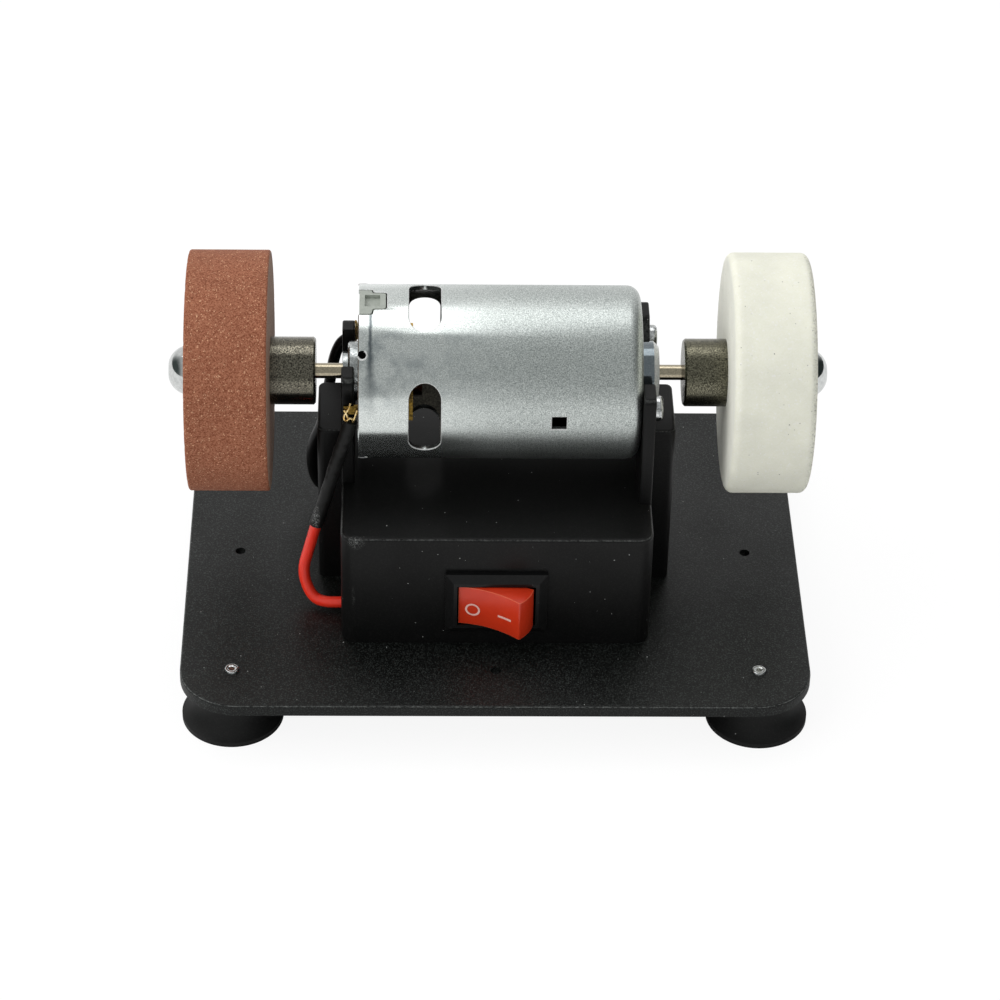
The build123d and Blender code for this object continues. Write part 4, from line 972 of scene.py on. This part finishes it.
brown_rim = gritty_bond(
    "brown_fused_alumina", "7E4530", "B4785C", "E4B490", painted_glint_share=0.06, pore="5C2E1E",
    pore_share=0.3, grit=0.2, relief=0.02,
)
brown_side = gritty_bond(
    "greyed_brown_alumina", "8A6C5C", "A88A78", "C0A898", painted_glint_share=0.1, pore="55403A",
    pore_share=0.3, grit=0.23, relief=0.02,
)
brown_wheel = grinding_wheel(
    "brown_grinding_wheel", "brown_wheel", brown_rim, brown_side, edge_round=0.5 * mm,
    chip_depth=0.3 * mm, chip_reach=0.9 * mm, seed=3.0,
)
white_rim = gritty_bond(
    "white_fused_alumina", "F4F3E2", "F8F7E9", "FCFBF2", painted_glint_share=0.1, pore="8F8B7E",
    pore_share=0.45, grit=0.3, relief=0.006,
)
white_outer_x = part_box("white_wheel")[1].x / mm
scuff(white_rim, "5A5850", most=0.9, centre=(white_outer_x, 0, axle_z / mm), reach=(1.4, 300, 300))
# The sides are painted paler than the rim: painted light on the faces that look aside.
white_side_painted_light = gritty_bond(
    "white_pressed_alumina_painted_light", "F8F7EA", "FBFAEF", "FCFBF4", painted_glint_share=0.1, pore="A8A69C",
    pore_share=0.15, grit=0.3, relief=0.006,
)
white_wheel = grinding_wheel(
    "white_grinding_wheel", "white_wheel", white_rim, white_side_painted_light, edge_round=1.5 * mm,
    chip_depth=0.35 * mm, chip_reach=1.6 * mm, seed=11.0,
)

# The domed screws and their washers: nickel-plated steel, polished, with a hex socket.
# They clamp the wheels against the shoulders of the arbors.
nickel = mottled_metal(
    "polished_nickel_plate", "BEC0BF", "D0D2D1", grain=0.8, smooth=0.05, rough=0.1, relief=0.001,
)
coat(nickel, "left_wheel_washer", "right_wheel_washer", "left_wheel_screw", "right_wheel_screw")

# The switch body: black nylon with a bevelled bezel that snaps into the front of the housing.
# Its edges are a little rounded by the mould.
switch_finish = black_moulding(
    "black_nylon", "101010", "1A1A1A", grain=0.3, relief=0.006, rough=0.36, shine=0.26,
    dust_share=0.4, rubbed=0,
)
coat(switch_finish, "switch_body")


# The rocker: red nylon, moulded with a hollow face, edges paler from wear and a painted highlight.
# It snaps into the bezel on two stub axles and tips to switch the motor on.
def red_nylon(name, dark, light, rough):
    """Glossy red moulding with faint flow marks."""
    flow_size = 4 * mm
    skin_grain = 0.25 * mm
    skin_relief = 0.003 * mm
    material, tree, shader, place = start_finish(name)
    flow = add_node(
        tree, "ShaderNodeTexNoise", {"Vector": place, "Scale": 1 / flow_size, "Detail": 4.0},
    )
    tone = add_node(
        tree, "ShaderNodeMixRGB",
        {"Fac": flow.outputs["Fac"], "Color1": colour(dark), "Color2": colour(light)},
    )
    fine = add_node(
        tree, "ShaderNodeTexNoise", {"Vector": place, "Scale": 1 / skin_grain, "Detail": 2.0},
    )
    bump = add_node(
        tree, "ShaderNodeBump", {"Height": fine.outputs["Fac"], "Distance": skin_relief},
    )
    plug(tree, shader, {
        "Base Color": tone.outputs["Color"], "Roughness": rough, "Normal": bump.outputs["Normal"],
    })
    return material


rocker_edge = 0.1 * mm
rocker_flat = radians(1)
rocker_corner = radians(30)
rocker_finish = red_nylon("red_nylon", "C62C10", "D63C1C", rough=0.3)
# The rounded edges: paler from wear, and partly a painted highlight.
rocker_edge_worn_lit = red_nylon("worn_red_nylon_painted_highlight", "D8502E", "E4704E", rough=0.45)
rocker_shape = merged_copy("rocker")
bmesh.ops.dissolve_limit(
    rocker_shape, angle_limit=rocker_flat, verts=rocker_shape.verts, edges=rocker_shape.edges,
)
rocker_sharp = [
    edge for edge in rocker_shape.edges
    if edge.is_manifold and edge.calc_face_angle() > rocker_corner
]
rocker_rounds = bmesh.ops.bevel(
    rocker_shape, geom=rocker_sharp, offset=rocker_edge, affect="EDGES", segments=2, profile=0.5,
    material=-1, clamp_overlap=True,
)["faces"]
for face in rocker_rounds:
    face.material_index = 1
rocker_tree = BVHTree.FromBMesh(rocker_shape)
rocker = piece_from(rocker_shape, "red_rocker", "rocker", rocker_finish, rocker_edge_worn_lit)
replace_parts(rocker, "rocker")

# The marks on the rocker, a ring for off and a bar for on: pad-printed pale ink.
# They lie on the hollow face and tip with it.
mark_ink = plain_moulding(
    "pale_printing_ink", "E2A79C", "F0C8BF", grain=0.4, rough=0.5, relief=0.001,
)
rocker_pivot = Vector([j for j in frame["joints"] if j["name"] == "rocker_tilt"][0]["pos_m"])
rocker_lean = radians(24.0)
along_face = Vector((cos(rocker_lean), -sin(rocker_lean), 0))
out_of_face = Vector((-sin(rocker_lean), -cos(rocker_lean), 0))
ink_height = 0.02 * mm
ray_start = 10 * mm
mark_drop = -0.85 * mm
ring_along = -3.9 * mm
ring_radius = 1.55 * mm
ring_line = 0.42 * mm
bar_along = 3.15 * mm
bar_length = 3.1 * mm
bar_line = 0.52 * mm

marks = bmesh.new()
outer_ring = bmesh.ops.create_circle(marks, segments=48, radius=ring_radius)["verts"]
inner_ring = bmesh.ops.create_circle(marks, segments=48, radius=ring_radius - ring_line)["verts"]
bmesh.ops.bridge_loops(marks, edges=list(marks.edges))
bmesh.ops.translate(marks, verts=outer_ring + inner_ring, vec=(ring_along, 0, 0))
bar = bmesh.ops.create_grid(marks, x_segments=12, y_segments=1, size=0.5)["verts"]
bmesh.ops.scale(marks, verts=bar, vec=(bar_length, bar_line, 1))
bmesh.ops.translate(marks, verts=bar, vec=(bar_along, 0, 0))
for vert in marks.verts:
    spot = rocker_pivot + along_face * vert.co.x + Vector((0, 0, vert.co.y + mark_drop))
    hit = rocker_tree.ray_cast(spot + out_of_face * ray_start, -out_of_face)[0]
    vert.co = hit + out_of_face * ink_height
bmesh.ops.recalc_face_normals(marks, faces=marks.faces)
if sum(face.normal.dot(out_of_face) for face in marks.faces) < 0:
    bmesh.ops.reverse_faces(marks, faces=marks.faces)
piece_from(marks, "rocker_marks", "rocker", mark_ink)

# Inside the switch: the plunger and its spring, the rocking contact and the two terminals.
# The plunger is white nylon, the spring is steel wire and the rest is brass.
plunger_finish = plain_moulding(
    "white_nylon", "D6D4CC", "E6E4DE", grain=0.5, rough=0.4, relief=0.004,
)
coat(plunger_finish, "rocker_plunger")
spring_finish = mottled_metal(
    "spring_steel", "8A8A8A", "B0B0B0", grain=0.3, smooth=0.2, rough=0.3, relief=0.004,
)
coat(spring_finish, "plunger_spring")
# The switch contacts take the same brass, painted dark as shade.
coat(shaded_brass, "rocking_contact", "switch_terminal_common", "switch_terminal_load")

# The power inlet in the back: a black nylon barrel socket with a nickel-plated pin.
# A nut holds it in the wall, and its lugs take the leads.
coat(switch_finish, "jack_body")
coat(nickel, "jack_pin", "jack_nut", "jack_ring_lug")


# The leads: stranded copper in soft vinyl, a little wavy and glossy. The red one leaves the front
# terminal inside a shrunk sleeve, the black one the rear terminal, and both dip into the side of
# the housing. A third, out of sight, brings the supply to the switch.
def tubes_along(name, routes, diameter, steps=20, roundness=6):
    """A curve of round tubes, each on one smooth line through its route, given in millimetres."""
    curve = bpy.data.curves.new(name, "CURVE")
    curve.dimensions = "3D"
    for route in routes:
        line = curve.splines.new("NURBS")
        line.points.add(len(route) - 1)
        for point, place in zip(line.points, route):
            point.co = (*(Vector(place) * mm), 1)
        line.order_u = 3
        line.use_endpoint_u = True
    curve.resolution_u = steps
    curve.bevel_depth = diameter / 2
    curve.bevel_resolution = roundness
    curve.use_fill_caps = True
    made = bpy.data.objects.new(name, curve)
    scene.collection.objects.link(made)
    return made


lead_diameter = 2.4 * mm
sleeve_diameter = 2.9 * mm
red_vinyl = plain_moulding(
    "red_vinyl", "F42C18", "FF422E", grain=1.5, rough=0.3, relief=0.02, shine=0.5,
)
black_vinyl = plain_moulding(
    "black_vinyl", "0D0D0D", "161616", grain=1.5, rough=0.36, relief=0.02, shine=0.25,
)
sleeve_route = [
    (-30.0, -13.5, 56.9), (-30.8, -13.7, 53.4), (-32.9, -13.9, 46.8), (-34.8, -14.0, 38.8),
    (-37.3, -14.2, 30.6),
]
red_route = [(-30.1, -13.5, 56.4)] + sleeve_route[1:] + [
    (-38.6, -14.4, 25.2), (-40.4, -15.4, 18.8), (-38.2, -18.0, 13.8), (-34.6, -19.6, 13.8),
    (-28.5, -19.7, 14.5), (-23.8, -14.0, 15.4), (-22.6, -5.5, 16.4), (-21.6, 3.2, 17.6),
    (-17.2, 10.4, 19.0), (-9.8, 11.6, 21.0), (-5.4, 5.6, 22.8), (-5.2, -2.375, 23.4),
    (-5.2, -9.5, 23.4),
]
black_route = [
    (-29.825, 13.4, 58.65), (-31.8, 13.5, 58.3), (-33.6, 13.7, 54.5), (-34.6, 13.9, 48.5),
    (-35.6, 14.2, 41.5), (-36.4, 14.4, 35.5), (-38.9, 14.8, 29.5), (-38.9, 15.8, 21.0),
    (-36.6, 17.8, 15.2), (-28.5, 19.7, 14.5), (-19.6, 20.4, 20.0), (-13.25, 18.4, 25.0),
    (-8.5, 18.4, 25.0),
]
supply_route = [
    (0, 12.7, 25.0), (0, 7.95, 25.0), (0.9, 1.0, 22.6), (0, -4.75, 23.4), (0, -9.5, 23.4),
]
red_lead = tubes_along("red_lead", [red_route], lead_diameter)
black_lead = tubes_along("black_lead", [black_route], lead_diameter)
supply_lead = tubes_along("inner_supply_lead", [supply_route], lead_diameter)
leads = (
    (red_lead, "red_motor_lead", red_vinyl, "lead_red"),
    (black_lead, "black_motor_lead", black_vinyl, "lead_black"),
    (supply_lead, "supply_lead", black_vinyl, "lead_black"),
)
for lead, node, vinyl, slot_name in leads:
    lead.data.materials.append(vinyl)
    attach(lead, "base")
    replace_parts(lead, node)

# The sleeve on the red lead: black heat-shrink tube, matt and wrinkled where it shrank over
# the joint at the terminal.
sleeve_finish = plain_moulding(
    "black_shrink_tube", "0E0E0E", "1C1C1B", grain=1.5, rough=0.5, relief=0.06, shine=0.25,
)
scuff(sleeve_finish, "D0D2D0", most=0.9, centre=(-37.4, -15.4, 33.4), reach=(1.1, 1.4, 3.6))
wrinkle_depth = 0.12 * mm
long_wrinkle = 1.3 * mm
short_wrinkle = 0.6 * mm
sleeve_line = tubes_along("sleeve_line", [sleeve_route], sleeve_diameter)
graph = bpy.context.evaluated_depsgraph_get()
sleeve_mesh = bpy.data.meshes.new_from_object(sleeve_line.evaluated_get(graph))
bpy.data.objects.remove(sleeve_line)
sleeve_shape = bmesh.new()
sleeve_shape.from_mesh(sleeve_mesh)
bpy.data.meshes.remove(sleeve_mesh)
bmesh.ops.remove_doubles(sleeve_shape, verts=sleeve_shape.verts, dist=join_distance)
bmesh.ops.recalc_face_normals(sleeve_shape, faces=sleeve_shape.faces)
sleeve_shape.normal_update()
for vert in sleeve_shape.verts:
    fold = noise.noise(vert.co / long_wrinkle) + 0.5 * noise.noise(vert.co / short_wrinkle)
    vert.co += vert.normal * wrinkle_depth * fold
sleeve = piece_from(sleeve_shape, "shrunk_sleeve", "base", sleeve_finish)
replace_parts(sleeve, "red_lead_sleeve")

# The bared ends of the leads: fine copper strands, their pale gold partly a painted highlight,
# twisted through the terminals and left unsoldered.
strand_diameter = 0.46 * mm
# The pale end of the mottle is a painted highlight.
strand_finish_with_highlight = mottled_metal(
    "bare_copper_strand_painted_highlight", "E4B048", "FFEFC0", grain=0.3, smooth=0.14, rough=0.26, relief=0.004,
    metal=0.7,
)
terminal_strands = {
    "front": (
        ((-30.2, -13.6, 56.4), (-31.2, -14.1, 57.2), (-31.4, -14.1, 58.4), (-30.7, -14.0, 59.6),
         (-30.2, -13.9, 60.4), (-30.0, -13.4, 61.2)),
        ((-29.7, -13.6, 56.3), (-29.4, -14.15, 57.2), (-29.0, -14.0, 58.6), (-28.6, -13.9, 59.9)),
        ((-30.7, -13.6, 56.5), (-30.9, -14.2, 57.2), (-30.1, -14.2, 58.2), (-29.3, -14.1, 57.4),
         (-29.4, -13.6, 56.4)),
        ((-30.4, -13.5, 56.4), (-30.5, -14.2, 58.0), (-30.9, -14.1, 59.4), (-31.3, -13.9, 59.8)),
    ),
    "rear": (
        ((-29.8, 13.6, 57.6), (-30.2, 12.8, 58.6), (-29.4, 12.8, 60.4), (-29.0, 12.9, 62.2),
         (-29.3, 13.4, 62.5)),
        ((-29.4, 13.6, 57.6), (-28.9, 12.8, 58.8), (-28.7, 12.8, 60.6), (-29.4, 13.2, 61.9)),
        ((-30.3, 13.6, 58.2), (-30.5, 12.9, 59.6), (-29.8, 12.8, 61.0), (-29.1, 13.0, 61.6)),
        ((-29.3, 13.5, 58.0), (-29.1, 12.7, 58.9), (-29.1, 12.7, 60.7), (-29.1, 12.7, 62.6),
         (-29.3, 13.3, 62.9)),
        ((-28.9, 13.5, 58.2), (-28.85, 12.7, 59.0), (-28.85, 12.7, 60.7), (-28.9, 12.75, 62.3),
         (-29.2, 13.3, 62.7)),
    ),
}
for side_name, routes in terminal_strands.items():
    strands = tubes_along(
        f"{side_name}_terminal_strands", routes, strand_diameter, steps=10, roundness=3,
    )
    strands.data.materials.append(strand_finish_with_highlight)
    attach(strands, "base")
